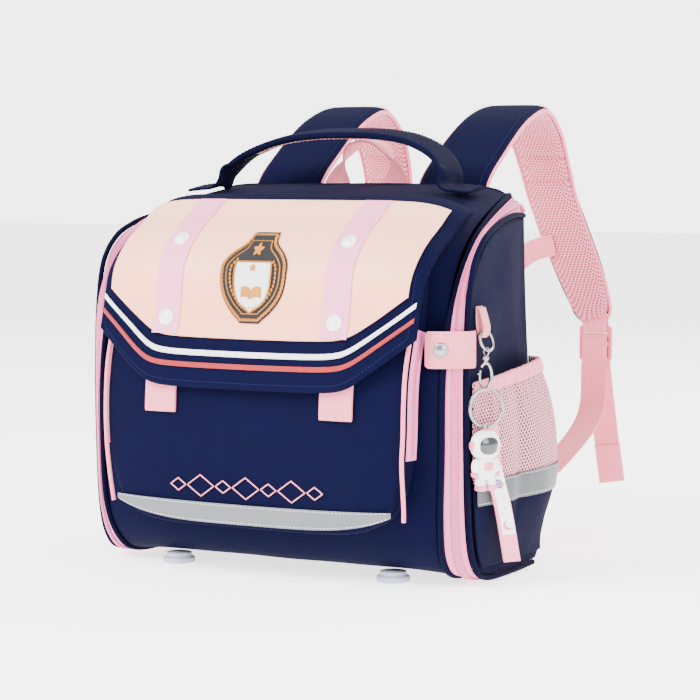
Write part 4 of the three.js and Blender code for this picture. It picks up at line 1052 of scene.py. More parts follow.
# %% Ribbons and snaps
RIBBON_X = 81
ON_PANEL = ON_FLAP + 1.2
ribbon_top = station_at_y(-118.5, RIBBON_X)
ribbon_end = flap_border(199, RIBBON_X)


def ribbon_point(v, across, lift):
    return on_flap(RIBBON_X + across, lerp(ribbon_top, ribbon_end, v), lift)


v, w = np.meshgrid(shares(70, 175, 0.5), (shares(14, 25, 0.5) - 0.5) * 25, indexing="ij")
both("ribbon", slab(ribbon_point(v, w, 0), ON_PANEL + 0.1, ON_PANEL + 1.3), "pink_ribbon", "flap_strap")
v = np.linspace(0.01, 0.99, 140)
rows = []
for across in (-10.3, 10.3):
    line = ribbon_point(v, across, ON_PANEL + 1.35)
    rows += stitches(line, ribbon_point(v, across, ON_PANEL + 2.4) - line, 3.0, 2.2, 0.4)
both("ribbon_stitches", rows, "ribbon_thread", slot="pink_ribbon")

CAP = [(0, -1.2), (6.2, -1.2), (6.9, -0.6), (7.0, 0.3), (6.9, 1.0), (6.5, 1.5), (5.9, 1.65), (5.5, 1.5),
       (5.1, 1.6), (4.2, 2.1), (2.8, 2.6), (1.4, 2.85), (0, 2.9)]
for name, z in (("upper", 276), ("lower", 214)):
    s = station_at(z, RIBBON_X, flap_lift)
    at = on_flap(RIBBON_X, s, ON_PANEL + 1.7)
    beside = on_flap(RIBBON_X + 2, s, 0) - on_flap(RIBBON_X - 2, s, 0)
    below = on_flap(RIBBON_X, s + 0.01, 0) - on_flap(RIBBON_X, s - 0.01, 0)
    both("snap_" + name, turned(CAP, at, np.cross(below, beside)), "pearl", "snap_cap_" + name)
print("ribbon:", made["ribbon_right"], "faces, caps:", made["snap_upper_right"])

# %% Flap and panel stitching
def edge_line(half, top_y, bottom_z, kink, count=500):
    """The border line of a flap-shaped piece: down the left side, along the bottom and up the right."""
    x = np.concatenate([np.full(120, -half), np.linspace(-half, half, 260), np.full(120, half)])
    v = np.concatenate([np.linspace(0.0, 1, 120), np.ones(260), np.linspace(1, 0.0, 120)])
    return x, lerp(station_at_y(top_y), flap_border(bottom_z, x, kink), v)


x, s = edge_line(FLAP_HALF_WIDTH - 6, -98, 164, KINK)
line = on_flap(x, s, FLAP_THICKNESS + 0.05)
rows = stitches(line, on_flap(x, s, FLAP_THICKNESS + 1) - line, 3.4, 2.5, 0.34)
piece("flap_stitches", rows, "navy_thread", slot="navy_trim")
x, s = edge_line(PANEL_HALF_WIDTH - 2.6, -117, 200.5, KINK - 2)
line = on_flap(x, s, ON_FLAP + 1.25)
rows = stitches(line, on_flap(x, s, ON_FLAP + 2.3) - line, 3.4, 2.5, 0.3)
piece("panel_stitches", rows, "ribbon_thread", slot="peach_leather")
print("stitches:", made["flap_stitches"], made["panel_stitches"], "faces")

# %% [markdown]
# ## The crest
# A badge of stitched felt sits in the middle of the flap. This one is a plain school badge: a gold
# rope round black felt, a row of beads, a field in two colours, a star over an open book. The flat
# drawing is laid on the flap by finding the station for each height, so it bends with the cloth.

# %% Crest layers
CREST_Z = 247
CREST_WIDE = [0.36, 0.46, 0.78, 0.97, 1.0, 0.99, 0.93, 0.8, 0.58, 0.3]
CREST_HALF_WIDTH = 32
CREST_HEIGHT = 71
ON_FACE = ON_FLAP + 1.3


def on_crest(x, z, lift):
    """A point of the badge's drawing, x across and z up from its middle, laid on the flap."""
    s = station_at(CREST_Z + z, x, flap_lift)
    return on_flap(x, s, ON_FACE + lift)


def crest_outline(scale, count=160):
    t = np.linspace(0, 1, count // 2)
    x = CREST_HALF_WIDTH * scale * read(CREST_WIDE, t)
    z = CREST_HEIGHT * scale * (0.5 - t)
    right = np.stack([x, 0 * x, z], -1)
    loop = np.concatenate([right, (right * [-1, 1, 1])[::-1], right[:1]])
    return resampled(loop, count + 1)[:-1][:, [0, 2]]


def inlay(outline, low, high, count=12, edge=0.35):
    """A flat raised shape with a rounded rim, filled from its outline to its middle."""
    centre = outline.mean(0)
    grid, k = filled(outline, centre, count)
    reach = np.linalg.norm(outline - centre, axis=-1).mean()
    swell = np.sqrt(1 - (1 - np.clip((1 - k) * reach / edge, 0, 1)) ** 2)[:, None]
    middle = (low + high) / 2
    x, z = grid[..., 0], grid[..., 1]
    weave = np.stack([x, z], -1)
    top = on_crest(x, z, middle + (high - middle) * swell)
    under = on_crest(x, z, middle - (middle - low) * swell)
    return [(top, weave), (under, weave)]


def corded(outline, radius, lift, twists=0, ring=True):
    """A cord along a drawn line, its radius beating where it is twisted."""
    n = len(outline)
    path = on_crest(outline[:, 0], outline[:, 1], lift)
    a = np.linspace(0, 2 * np.pi, 10, endpoint=False)[None]
    turn = np.arange(n)[:, None] / n * 2 * np.pi * twists
    beat = 1 + (0.2 * np.cos(2 * a + turn) if twists else 0 * a)
    section = np.stack([radius * beat * np.cos(a + 0 * turn), radius * beat * np.sin(a + 0 * turn)], -1)
    return carried(path, [0, -1, 0.3], section, ring=ring)


piece("crest_felt", inlay(crest_outline(1.0), 0.0, 1.9, 24, 0.9), "felt", "crest_patch")
rope = corded(crest_outline(0.93, 480), 1.15, 1.75, 60)
inner_line = corded(crest_outline(0.80, 240), 0.5, 1.85)
piece("crest_rope", rope + inner_line, "gold_thread", "crest_emblem")

shield_t = np.linspace(0, 1, 60)
shield_x = 17.5 * read([0.96, 1.0, 1.0, 0.97, 0.86, 0.62, 0.02], shield_t)
shield_right = np.stack([shield_x, 0 * shield_x, 15 - 40 * shield_t], -1)
shield_loop = np.concatenate([shield_right, (shield_right * [-1, 1, 1])[::-1], shield_right[:1]])
shield = resampled(shield_loop, 161)[:-1][:, [0, 2]] + [0, -3]
piece("crest_field", inlay(shield, 1.75, 2.5, 14), "field_white", slot="white_cord")
chevron = np.array([[-15, -2], [0, 7], [15, -2], [15, -10], [0, -1], [-15, -10]], float)
band_rows = []
for a, b in ((0, 1), (1, 2)):
    quad = np.array([chevron[a], chevron[b], chevron[5 - b], chevron[5 - a]])
    u, v = np.meshgrid(shares(16, 16, 0.4), shares(8, 8, 0.4), indexing="ij")
    flat = (quad[0] * (1 - u[..., None]) + quad[1] * u[..., None]) * (1 - v[..., None]) + (
        quad[3] * (1 - u[..., None]) + quad[2] * u[..., None]) * v[..., None]
    top = on_crest(flat[..., 0], flat[..., 1], 2.4)
    band_rows += slab(top, 0.0, 0.5)
piece("crest_chevron", band_rows, "field_pink", slot="pink_trim")
piece("crest_field_edge", corded(shield, 0.75, 2.5, 40), "gold_thread", slot="gold_thread")
print("crest rope:", made["crest_rope"], "faces")

# %% Star, book and beads
a = np.linspace(0, 2 * np.pi, 60, endpoint=False)
spike = 1 - 0.55 * np.abs(((a * 5 / (2 * np.pi)) % 1) * 2 - 1) ** 0.9
star = lambda size, x, z: np.stack([x + size * spike * np.cos(a + np.pi / 2 - np.pi / 5),
                                    z + size * spike * np.sin(a + np.pi / 2 - np.pi / 5)], -1)
rows = inlay(star(5.6, 0, 21.5), 1.7, 3.0, 8) + inlay(star(3.6, 0, 6.8), 2.4, 3.3, 8)
page = np.array([[0, -1], [3, 1.4], [7, 1.8], [10.5, 0.8], [10.5, -8], [7, -7], [3, -7.4], [0, -9.6]], float)
page = resampled(np.concatenate([np.insert(page, 1, 0, 1), [[0, 0, -1]]]), 61)[:-1][:, [0, 2]]
for sign in (1, -1):
    rows += inlay(page * 0.9 * [sign, 1] + [0.35 * sign, -9.5], 2.4, 3.5, 8)
bead_line = crest_outline(0.68, 200)
beads = resampled(np.insert(np.vstack([bead_line, bead_line[:1]]), 1, 0, 1), 45)[:-1]
beads = beads[(beads[:, 2] < 14)]
for x, _, z in beads:
    a_bead = np.linspace(0, 2 * np.pi, 12, endpoint=False)
    rows += inlay(np.stack([x + 0.95 * np.cos(a_bead), z + 1.5 * np.sin(a_bead)], -1), 1.7, 2.7, 4, 0.8)
piece("crest_motif", rows, "gold_thread", slot="gold_thread")
print("crest motif:", made["crest_motif"], "faces, with", len(beads), "beads")

# %% [markdown]
# ## Pull tabs
# Two short loops of ribbed webbing stick out from under the flap. A loop is one strip that goes down,
# turns at the foot and comes back up behind, so its lower end is round and double.

# %% Webbing loops under the flap
TAB_X = 84.5
tab_top = station_at(184.5, TAB_X, deep)
tab_end = station_at(138, TAB_X, deep)
turn = np.linspace(-np.pi / 2, np.pi / 2, 12)
down = np.linspace(0, 1, 40)
fall = np.concatenate([down * 0.97, 0.97 + 0.03 * np.cos(turn), down[::-1] * 0.97])
rise = np.concatenate([np.full(40, 2.2), 1.4 - 0.8 * np.sin(turn), np.full(40, 0.6)])
w, t = (shares(18, 30, 0.5) - 0.5) * 30, np.arange(len(fall))
s = lerp(tab_top, tab_end, fall)[:, None]
x = TAB_X + w[None]
loop = over_wrap(x, s, pocket_lift(x) + 0.45 + rise[:, None])
both("pull_tab_loop", slab(loop, -0.5, 0.5), "pink_webbing", "pull_tab")
print("pull tab:", made["pull_tab_loop_right"], "faces")

# %% [markdown]
# ## Mesh side pockets
# The upper part is open air mesh that stands off the side and gathers at a sewn pleat; the part below
# the reflective tape is navy cloth. Both come from one surface. Its mouth is drawn in by elastic, and
# small waves near the mouth show that the mesh is gathered there.

# %% Side pocket surface
POCKET_SWELL = [0.0, 0.36, 0.8, 1.0, 0.98, 0.78, 0.42]


def side_pocket_point(a, b, lift=0.0):
    """a from the front edge to the rear edge, b from the bottom to the mouth."""
    a, b = np.broadcast_arrays(np.asarray(a, float), b)
    z = lerp(15, lerp(169, 181, a), b)
    at = meet(lambda s: side_seam(s)[..., 2], z, 0.35, 0.85)
    y = lerp(side_seam(at)[..., 1] + 7, -11, a)
    edge = np.sqrt(np.maximum(0, 1 - a**20))
    pleat = 1 - 0.16 * np.exp(-(((a - 0.46) / 0.06) ** 2))
    gather = 0.55 * np.sin(a * 75) * smooth(b, 0.7, 1.0) * np.minimum(1, 6 * a)
    crease = 0.8 * np.sin(a * 17 + b * 5) * smooth(np.abs(b - 0.45), 0.5, 0.1) * np.minimum(1, 5 * a) * edge
    swell = 30 * np.maximum(a, 1e-6) ** 0.85 * smooth(a, -0.04, 0.2) * edge * pleat * read(POCKET_SWELL, b)
    return np.stack([side_face(y, z) + 1 + swell + gather * edge + crease + lift, y, z], -1)


LOW = (65 - 15) / 148
HIGH = (85 - 15) / 148


def facing_out(a, b):
    """A grid whose rows run down and columns towards the rear, so that it faces out."""
    rows, columns = np.meshgrid(b, a, indexing="ij")
    return side_pocket_point(columns, rows)


a = np.concatenate([np.linspace(0, 0.97, 110), [0.985, 0.993, 0.998, 1.0]])
netting = slab(facing_out(a, np.linspace(1, HIGH - 0.01, 60)), 0.1, 1.9)
both("mesh_pocket", netting, "pocket_mesh", "side_pocket")
foot_cloth = slab(facing_out(a, np.linspace(HIGH - 0.02, 0, 50)), 0.0, 1.8)
# The foot cloth on the side takes the darker navy copy too, painted shade.
both("pocket_foot", foot_cloth, "navy_side_shade", slot="navy_cloth")
along = np.linspace(0.02, 0.985, 110)
mesh_tape = slab(facing_out(along, np.linspace(HIGH, LOW, 10)), 2.6, 3.6)
both("mesh_tape", mesh_tape, "grey_tape", "side_reflector")
binding_top = 2.2 + 1.8 * smooth(along, 0.1, 0.2)[None]  # low where the clasp hangs in front of it
both("mesh_binding", slab(facing_out(along, np.linspace(1.0, 0.93, 12)), 1.2, binding_top, 2.5), "pink_trim",
     "side_pocket_binding")
rows = []
for b in (HIGH - 0.012, LOW + 0.012):
    line = side_pocket_point(along, b, 3.75)
    rows += stitches(line, np.array([1.0, -0.25, 0]), 4.0, 2.9, 0.4)
both("mesh_tape_stitches", rows, "grey_thread", slot="grey_tape")
hem_line = side_pocket_point(along, 0.955, binding_top[0] + 0.05)
rows = stitches(hem_line, np.array([1.0, -0.25, 0]), 3.4, 2.4, 0.35)
both("mesh_binding_stitches", rows, "pink_thread", slot="pink_trim")
print("mesh pocket:", made["mesh_pocket_right"], "faces a side")

# %% [markdown]
# ## Handle and hanging loop
# The carrying handle is a padded strap whose ends are flattened and sewn down. Its section is a table
# of two states, flat at the ends and plump over the hand, blended along the way. The hanging loop
# is one webbing strip that twists a quarter turn up to its peak, like the real one.

# %% Carry handle
HANDLE_Y = -58
HANDLE_RISE = 51  # from the wrap's top to the middle of the grip
top_z = over_wrap(113, meet(lambda s: over_wrap(0 * s, s, 0.0)[..., 1], HANDLE_Y, 0, 0.5))[2]
seat = top_z + 4.2


def arch(x, rise):
    return [x, HANDLE_Y + 30 * rise, lerp(seat, top_z + HANDLE_RISE, rise)]


half_path = [[139, HANDLE_Y, seat - 1.4], [125, HANDLE_Y, seat], [115, HANDLE_Y, seat + 1.5], arch(109, 0.3),
             arch(94.9, 0.6), arch(65.5, 0.87), arch(32.8, 0.98)]
path = line_through(half_path + [arch(0, 1)] + [[-x, y, z] for x, y, z in half_path[::-1]], even=200)
share = np.linspace(0, 1, 200)
plump = smooth(0.5 - np.abs(share - 0.5), 0.06, 0.16)
flat_end, full = oval(16, 1.3, 28, 0.35), oval(15.6, 3.4, 28, 0.55)
section = flat_end + (full - flat_end) * plump[:, None, None]
handle = piece("handle_padded", carried(path, [0, 1, 0.14], section), "navy_trim", "carry_handle")
inside = slice(44, 156)
lining = oval(10.5, 0.7, 16, 0.5)
above = carried(path[inside], [0, 1, 0.14], lining + np.array([0, 3.3]))
sign = 1 if above[0][0][56].mean(0)[2] < path[100][2] else -1  # which side of the section faces down
under = carried(path[inside], [0, 1, 0.14], lining + np.array([0, 3.3 * sign]))
piece("handle_lining", under, "handle_mesh", slot="air_mesh")
rows = []
for side in (-13.2, 13.2):
    shifted = carried(path, [0, 1, 0.14], np.array([[side, 0.0], [side, -sign * 1.0], [side, 0.1]]))[0][0]
    lift = np.abs(shifted[:, 1] - shifted[:, 0])
    tall = np.interp(share, [0, 0.08, 0.2, 0.8, 0.92, 1], [1.35, 1.35, 2.95, 2.95, 1.35, 1.35])
    out = unit(shifted[:, 1] - shifted[:, 0])
    rows += stitches(shifted[:, 0] + out * tall[:, None], out, 3.6, 2.6, 0.36)
piece("handle_stitches", rows, "navy_thread", slot="navy_trim")
print("handle:", made["handle_padded"], "faces")

# %% Hanging loop
foot, neck = 0.915 * BODY_HEIGHT, 1.03 * BODY_HEIGHT
half_path = [[29, 1.6, foot], [29, 1.6, neck - 12], [26, 3.6, neck + 4], [14.5, 5.6, lerp(neck, 364, 0.85)]]
path = line_through(half_path + [[0, 5.6, 364]] + [[-x, y, z] for x, y, z in half_path[::-1]], even=161)
t = np.linspace(0, 1, 161)
quarter = np.pi / 2 * smooth(0.5 - np.abs(t - 0.5), 0.12, 0.42)
facing = np.stack([np.cos(quarter), -np.sin(quarter), 0 * t], -1)
ribbon_section = oval(14, 1.0, 26, 0.3)
piece("hanging_loop", carried(path, facing, ribbon_section), "pink_webbing", "hang_loop")
print("hanging loop:", made["hanging_loop"], "faces")

# %% [markdown]
# ## Shoulder straps
# A strap is navy cloth on the outside of its arch and soft pink air mesh on the inside, with foam
# between. Two half sections on one path make it, the mesh one domed and dented where it is quilted
# across. Below, the webbing is threaded through a ladder lock and ends in a folded, sewn tail.

# %% Strap shells
STRAP = {
    "across": [0, 0, 0, 0, 0, 0, 0.02, 0.12, 0.46, 0.82, 1.0],
    "back": [0.036, 0.038, 0.21, 0.46, 0.66, 0.83, 0.93, 0.985, 1.0, 1.0, 1.0],
    "up": [0.5, 0.64, 0.8, 0.955, 1.0, 0.9, 0.74, 0.56, 0.34, 0.13, 0.0],
    "width": [1.0, 1.0, 1.0, 0.97, 0.94, 0.86, 0.78, 0.74, 0.72, 0.68, 0.56],
}
STRAP_REACH = 209
points = np.stack([
    lerp(83, 130, np.array(STRAP["across"])),
    np.array(STRAP["back"]) * STRAP_REACH,
    lerp(200, 392, np.array(STRAP["up"])),
], -1)
path = line_through(points, even=240)
t = np.linspace(0, 1, 240)
wide = 34 * read(STRAP["width"], t) * np.sqrt(1 - np.clip((t - 0.965) / 0.05, 0, 1) ** 2)
u = np.linspace(-1, 1, 31)


def half_section(sign, height, narrow, dent):
    """Half a lens: domed on one side of the path and flat on the other."""
    dome = height * (1 - np.abs(u) ** 5) ** 0.6
    across = wide[:, None] * u * narrow
    domed = np.stack([across, sign * (0.15 + dome[None] * (1 - dent))], -1)
    flat = np.stack([across[:, ::-1][:, 1:-1], np.full((240, 29), 0.15 * sign)], -1)
    return np.concatenate([domed, flat], 1)


quilted = sum(0.5 * np.exp(-(((t - at) / 0.006) ** 2)) for at in (0.60, 0.665))
quilted = np.maximum(quilted, 0.0)[:, None]
outside = half_section(-1, 5.0, 1.0, 0 * quilted)
inside = half_section(1, 5.2, 0.93, quilted)
for strap in both("strap_cloth", carried(path, [1, 0, 0], outside), "navy_cloth", "shoulder_strap"):
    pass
for strap in both("strap_mesh", carried(path, [1, 0, 0], inside), "strap_mesh", slot="air_mesh"):
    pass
tangent = unit(np.gradient(path, axis=0))
up = np.cross(tangent, [1, 0, 0])
rows = []
edges = []
for hand in (-1, 1):
    edge = path + np.array([hand, 0, 0]) * (wide[:, None] * 0.97)
    edges += carried(edge + up * 0.4, [1, 0, 0], oval(1.5, 1.9, 10))
    seam = path + np.array([hand, 0, 0]) * (wide[:, None] - 5.5) - up * 5.15
    rows += stitches(seam[:228], -up[:228], 3.6, 2.6, 0.38)
both("strap_binding", edges, "pink_trim", slot="pink_trim")
both("strap_stitches", rows, "navy_thread", slot="navy_trim")
print("strap:", made["strap_cloth_right"], made["strap_mesh_right"], "faces a side")

# %% Ladder lock and webbing
end_x, end_y, end_z = points[-1]
lock_z = end_z - 16 - 7.5
bars = []
lock_corners = [[-14.6, 0, -14.3], [14.6, 0, -14.3], [14.6, 0, 14.3], [-14.6, 0, 14.3]]
frame_line = np.array(lock_corners + lock_corners[:1])
ring_line = resampled(frame_line, 121)[:-1] + [end_x + 1, end_y, lock_z]
bars += carried(ring_line, [0, 1, 0], oval(1.5, 1.9, 14, 0.6), ring=True)
for z in (-14.3, -0.5, 0.5, 14.3):
    bar = np.linspace([-14, 0, z], [14, 0, z], 12) + [end_x + 1, end_y, lock_z]
    bars += carried(bar, [0, 1, 0], oval(1.5, 1.7, 14, 0.6))
both("ladder", bars, "pink_plastic", "ladder_lock")

low = end_z - 36.5
bar = lock_z + 0.11 * 32
off = 3.3
anchor = [
    [end_x + 15, 1.7, 104], [end_x + 15, 1.9, 82], [end_x + 15, 5.3, 68], [end_x + 15, 26, 62],
    [end_x + 18, 0.5 * STRAP_REACH, 86], [end_x + 10, 0.86 * STRAP_REACH, 0.72 * low],
    [end_x + 1.5, end_y - off - 2.4, low - 8], [end_x + 1, end_y - off - 0.2, bar - 16],
    [end_x + 1, end_y - off, bar - 6], [end_x + 1, end_y - off, bar + 2], [end_x + 1, end_y, bar + 5.2],
    [end_x + 1, end_y + off, bar + 2], [end_x + 1, end_y + off, bar - 6],
    [end_x + 1.5, end_y + off + 0.6, low - 4], [end_x + 9, end_y + 7, 0.55 * low],
    [end_x + 16, end_y + 6, 46],
]
web_line = line_through(anchor, per=16)
both("strap_webbing", carried(web_line, [1, 0, 0], oval(12.5, 0.9, 22, 0.28)), "pink_webbing", "strap_web")
tail = web_line[-14:]
folded = carried(resampled(tail, 24), [1, 0, 0], oval(12.6, 1.9, 22, 0.3))
both("webbing_end", folded, "pink_webbing", slot="pink_webbing")
hanger = np.array([[end_x, end_y, end_z + 14], [end_x, end_y + 0.4, end_z + 4],
                   [end_x + 0.6, end_y + 2.7, end_z - 6],
                   [end_x + 1, end_y + 2.8, lock_z + 12], [end_x + 1, end_y + 0.3, lock_z + 10.6],
                   [end_x + 1, end_y - 2.6, lock_z + 12], [end_x + 0.6, end_y - 2.6, end_z - 5],
                   [end_x, end_y - 0.9, end_z + 6]])
loop = carried(line_through(hanger, per=12), [1, 0, 0], oval(12.2, 0.75, 22, 0.3))
both("lock_hanger", loop, "pink_webbing", slot="pink_webbing")
print("webbing:", made["strap_webbing_right"], "faces a side")

# %% Chest strap and buckle
clear = 5.5 + 0.3 + 0.2
half_path = [[91, STRAP_REACH - clear - 1.5, 268], [69, STRAP_REACH - clear - 1, 262],
             [40, STRAP_REACH - 12, 242], [16, STRAP_REACH - 14, 232]]
path = line_through(half_path + [[-x, y, z] for x, y, z in half_path[::-1]], even=150)
piece("chest_webbing", carried(path, [0, 0, 1], oval(10, 0.9, 22, 0.28)), "pink_webbing", "chest_strap")
centre = np.array([0, STRAP_REACH - 14 - 4 - 0.9 - 0.3 - 0.4, 231.0])
q, p = np.meshgrid(np.linspace(1, -1, 40), np.linspace(-1, 1, 60), indexing="ij")
waist = 1 - 0.10 * np.exp(-(((p - 0.15) / 0.14) ** 2))
bx, bz = 22 * p, 13.5 * q * waist
face = np.stack([bx, 0 * bx, bz], -1) + centre
windows = 1.6 * (smooth(np.abs(np.abs(q) - 0.62), 0.2, 0.1) * smooth(np.abs(p - 0.15), 0.34, 0.24))
split = 1.0 * np.exp(-(((p - 0.52) / 0.03) ** 2))
piece("chest_clip", slab(face, -4.0, 4.0 - windows - split, 3.2), "pink_plastic", "chest_buckle")
print("chest clip:", made["chest_clip"], "faces")

# %% [markdown]
# ## Tab, rings and clasp
# A webbing tab with a press stud crosses the zip, and a small loop carries a D-ring. From it hang a
# lobster clasp, a split ring of two turns, a little moulded astronaut and a printed strap. Wires are
# carried sections; the clasp's lever is a separate piece because it can be pressed in.

# %% Tab and D-ring loop
HARDWARE_Z = 196
at = meet(lambda s: front_seam(s)[..., 2], HARDWARE_Z, 0, 1)
seam, side = front_seam(at), side_seam(at)
rise = PIPING_RADIUS + 0.3 + 1.8
tab = [
    [seam[0] - 13, seam[1] - 8.8, HARDWARE_Z], [seam[0] - 4, seam[1] - rise - 4, HARDWARE_Z],
    [seam[0] + 4, seam[1] - rise + 0.6, HARDWARE_Z],
    [(seam[0] + side[0]) / 2 + 3.6, (seam[1] + side[1]) / 2 - 4.6, HARDWARE_Z],
    [side[0] + rise - 0.4, side[1] - 2, HARDWARE_Z], [side[0] + rise, side[1] + 3, HARDWARE_Z],
    [side[0] + 2.2, side[1] + 9, HARDWARE_Z],
]
path = line_through(tab, even=120)
t = np.linspace(0, 1, 120)
cut = 15 * (1 - 0.10 * np.exp(-((t / 0.03) ** 2)))
section = oval(1, 1, 26, 0.3)[None] * np.stack([cut, np.full(120, 0.85)], -1)[:, None]
piece("zip_tab", carried(path, [0, 0, 1], section), "pink_webbing", "snap_tab")
rows = []
outside = unit(np.cross(unit(np.gradient(path, axis=0)), [0, 0, 1]))
outside = outside * np.sign(outside[:, :1] * 0.5 - outside[:, 1:2] * 0.9)
for z in (-12.4, 12.4):
    rows += stitches(path + outside * 0.95 + [0, 0, z], outside, 3.2, 2.3, 0.36)
piece("zip_tab_stitches", rows, "pink_thread", slot="pink_webbing")
low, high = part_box("tab_button")
stud = np.array((low + high) / 2) * 1000 - MIDDLE
faces_out = np.array([np.sin(0.5), -np.cos(0.5), 0])
STUD = [(0, -1.3), (5.6, -1.3), (6.0, -0.9), (6.0, -0.2), (5.5, 0.4), (4.9, 0.55), (4.6, 0.35), (4.0, 0.5),
        (2.6, 0.95), (1.2, 1.15), (0, 1.2)]
piece("tab_stud", turned(STUD, stud, faces_out), "steel", "tab_button")

top = HARDWARE_Z + 20
hang_y = side[1] + 19
loop_x = float(side_face(hang_y, top)) + 1.3
loop = [[loop_x, hang_y, top + 14], [loop_x, hang_y, top + 2], [loop_x + 0.8, hang_y, top - 5],
        [loop_x + 3.8, hang_y, top - 11], [loop_x + 6.8, hang_y, top - 5], [loop_x + 5.4, hang_y, top + 3],
        [loop_x + 2.2, hang_y, top + 13]]
loop_band = carried(line_through(loop, even=70), [0, 1, 0], oval(6, 0.6, 18, 0.35))
piece("ring_loop", loop_band, "pink_webbing", "dring_loop")
print("tab:", made["zip_tab"], "faces")

# %% D-ring, lobster clasp and its lever
TURN = np.pi / 6
OUT = np.array([np.cos(TURN), -np.sin(TURN), 0.0])
WIDE = np.array([np.sin(TURN), np.cos(TURN), 0.0])
UP = np.array([0.0, 0.0, 1.0])
LEAN = 0.3
dring_z = top - 5.2 - 8.5
line_out = 3.9 + 17 * np.sin(LEAN)
a = np.linspace(0, 2 * np.pi, 72, endpoint=False)
height = 8.5 * np.sign(np.sin(a)) * np.abs(np.sin(a)) ** 0.85
ring = np.array([loop_x + (3.9 + line_out) / 2, hang_y, dring_z]) + np.outer(10.6 * np.cos(a), [0, 1, 0])
ring = ring + np.outer(height, [-np.sin(LEAN), 0, np.cos(LEAN)])
piece("d_ring", carried(ring, [1, 0, 0], oval(1.3, 1.3, 12), ring=True), "steel", "dring")

stem_top = dring_z - 8.5 * np.cos(LEAN) - 1.6
clasp_z = stem_top - 7 - 11.5
hub = np.array([loop_x, hang_y, 0]) + OUT * line_out


def oval_line(share, start, stop, count):
    """An arc of the clasp's oval at a share of its outer size."""
    a = np.linspace(start, stop, count)
    wide = 7 * share * np.cos(a)
    high = 11.5 * (1 - (1 - share) * 14 / 23) * np.sin(a)
    return hub + wide[:, None] * WIDE + (clasp_z + high)[:, None] * UP


body_line = oval_line(0.82, -np.pi + 0.75, np.pi - 0.75, 90)
t = np.linspace(0, 1, 90)
thick = 1.15 + 0.25 * np.sin(np.pi * t)
section = oval(1, 1, 14, 0.8)[None] * np.stack([np.full(90, 1.6), thick], -1)[:, None]
swivel = [(0, -1.0), (2.0, -0.9), (2.3, 0), (1.6, 0.9), (1.5, 1.6), (2.6, 2.2), (3.0, 3.2), (3.0, 4.6),
          (2.4, 5.6), (1.2, 6.2), (0, 6.4)]
drum = turned(swivel, hub + UP * (clasp_z + 10.6), UP)
a = np.linspace(0, 2 * np.pi, 40, endpoint=False)
eye_line = np.array([loop_x + 8.5, hub[1], dring_z - 8.5]) + np.outer(2.4 * np.cos(a), [1, 0, 0])
eye = carried(eye_line + np.outer(3.1 * np.sin(a), UP), [0, 1, 0], oval(0.55, 0.55, 10), ring=True)
piece("clasp_body", carried(body_line, OUT, section) + drum + eye, "steel", "clasp")
lever_line = oval_line(0.80, np.pi - 0.48, np.pi + 0.62, 30)
lever = carried(lever_line, OUT, oval(1.2, 1.1, 12, 0.8))
thumb_shape = [(0, -0.9), (0.8, -0.8), (1.0, 0), (0.8, 0.9), (0, 1.1)]
thumb = turned(thumb_shape, lever_line[8] - WIDE * 1.1, -WIDE, 20)
piece("clasp_lever", lever + thumb, "steel", "clasp_gate", body="gate")
print("clasp:", made["clasp_body"], "lever:", made["clasp_lever"], "faces")

# %% Split ring
RING_RADIUS = 15.6
bow_foot = clasp_z - 11.5 - 0.4
ring_z = bow_foot - 1.3 - 15.5 + 3.0  # its top lies in front of the clasp's bow
hub_ring = np.array([loop_x, hang_y, 0]) + OUT * (line_out + 3) - WIDE * 1
turns = np.linspace(0, 2, 220)
a = turns * 2 * np.pi + 0.6
drift = np.clip((turns - 1) * 6, -1, 1) * 0.66
coil_line = hub_ring + np.outer(RING_RADIUS * np.cos(a), WIDE)
coil_line = coil_line + np.outer(RING_RADIUS * np.sin(a) + ring_z, UP) + np.outer(drift, OUT)
piece("split_ring", carried(coil_line, OUT, oval(0.62, 1.1, 12, 0.7)), "steel", "key_ring")
print("split ring:", made["split_ring"], "faces")

# %% [markdown]
# ## The charm
# The astronaut is a general one, in a plain suit with an empty dark visor. Rounded boxes and ellipsoids
# that sink into each other look like one moulding. The strap beside it is printed with a ringed
# planet and stars; the print is worked out from its own cloth coordinates.

# %% Astronaut
ring_foot = ring_z - 15.5 - 1.3 - 0.3
charm = np.array([loop_x, hang_y, 0]) + OUT * (line_out + 6.5) - WIDE * 4 + UP * (ring_foot - 25)


def at_charm(out, wide, up):
    return charm + OUT * out + WIDE * wide + UP * up


suit = blob(at_charm(0, 0, 12.5), (7.2, 13.2, 12.2), 0.85, OUT, 30, 44)
suit += blob(at_charm(0, 0, -6.5), (5.6, 9.0, 9.5), 0.75, OUT, 24, 36)
for sign in (1, -1):
    suit += blob(at_charm(0.6, sign * 9.6, -5.0), (3.2, 3.6, 6.6), 0.9, OUT + WIDE * 0.1 * sign, 18, 24)
    suit += blob(at_charm(0.2, sign * 4.8, -17.5), (4.2, 4.1, 6.2), 0.8, OUT, 18, 24)
suit += blob(at_charm(-3.4, 0, -5.5), (2.6, 6.6, 7.0), 0.5, OUT, 18, 24)
piece("astronaut_suit", suit, "charm_white", "charm_figure")
visor = blob(at_charm(2.6, 0, 12.3), (5.6, 10.2, 8.6), 0.85, OUT, 26, 40)
piece("astronaut_visor", visor, "charm_visor", slot="black_patch")
pink = []
for sign in (1, -1):
    pink += blob(at_charm(0, sign * 12.8, 12.3), (3.2, 1.6, 3.6), 0.7, OUT, 16, 22)
    pink += blob(at_charm(0.6, sign * 10.4, -11.0), (3.0, 3.0, 2.6), 0.8, OUT, 16, 22)
    pink += blob(at_charm(0.8, sign * 4.8, -22.2), (4.6, 4.4, 2.7), 0.6, OUT, 16, 22)
pink += blob(at_charm(4.3, 0, -4.6), (1.9, 4.4, 3.2), 0.4, OUT, 16, 22)
knob = [(0, 0), (3.2, 0), (3.6, 0.6), (2.6, 1.2), (1.3, 1.4), (1.2, 1.9), (0, 2.0)]
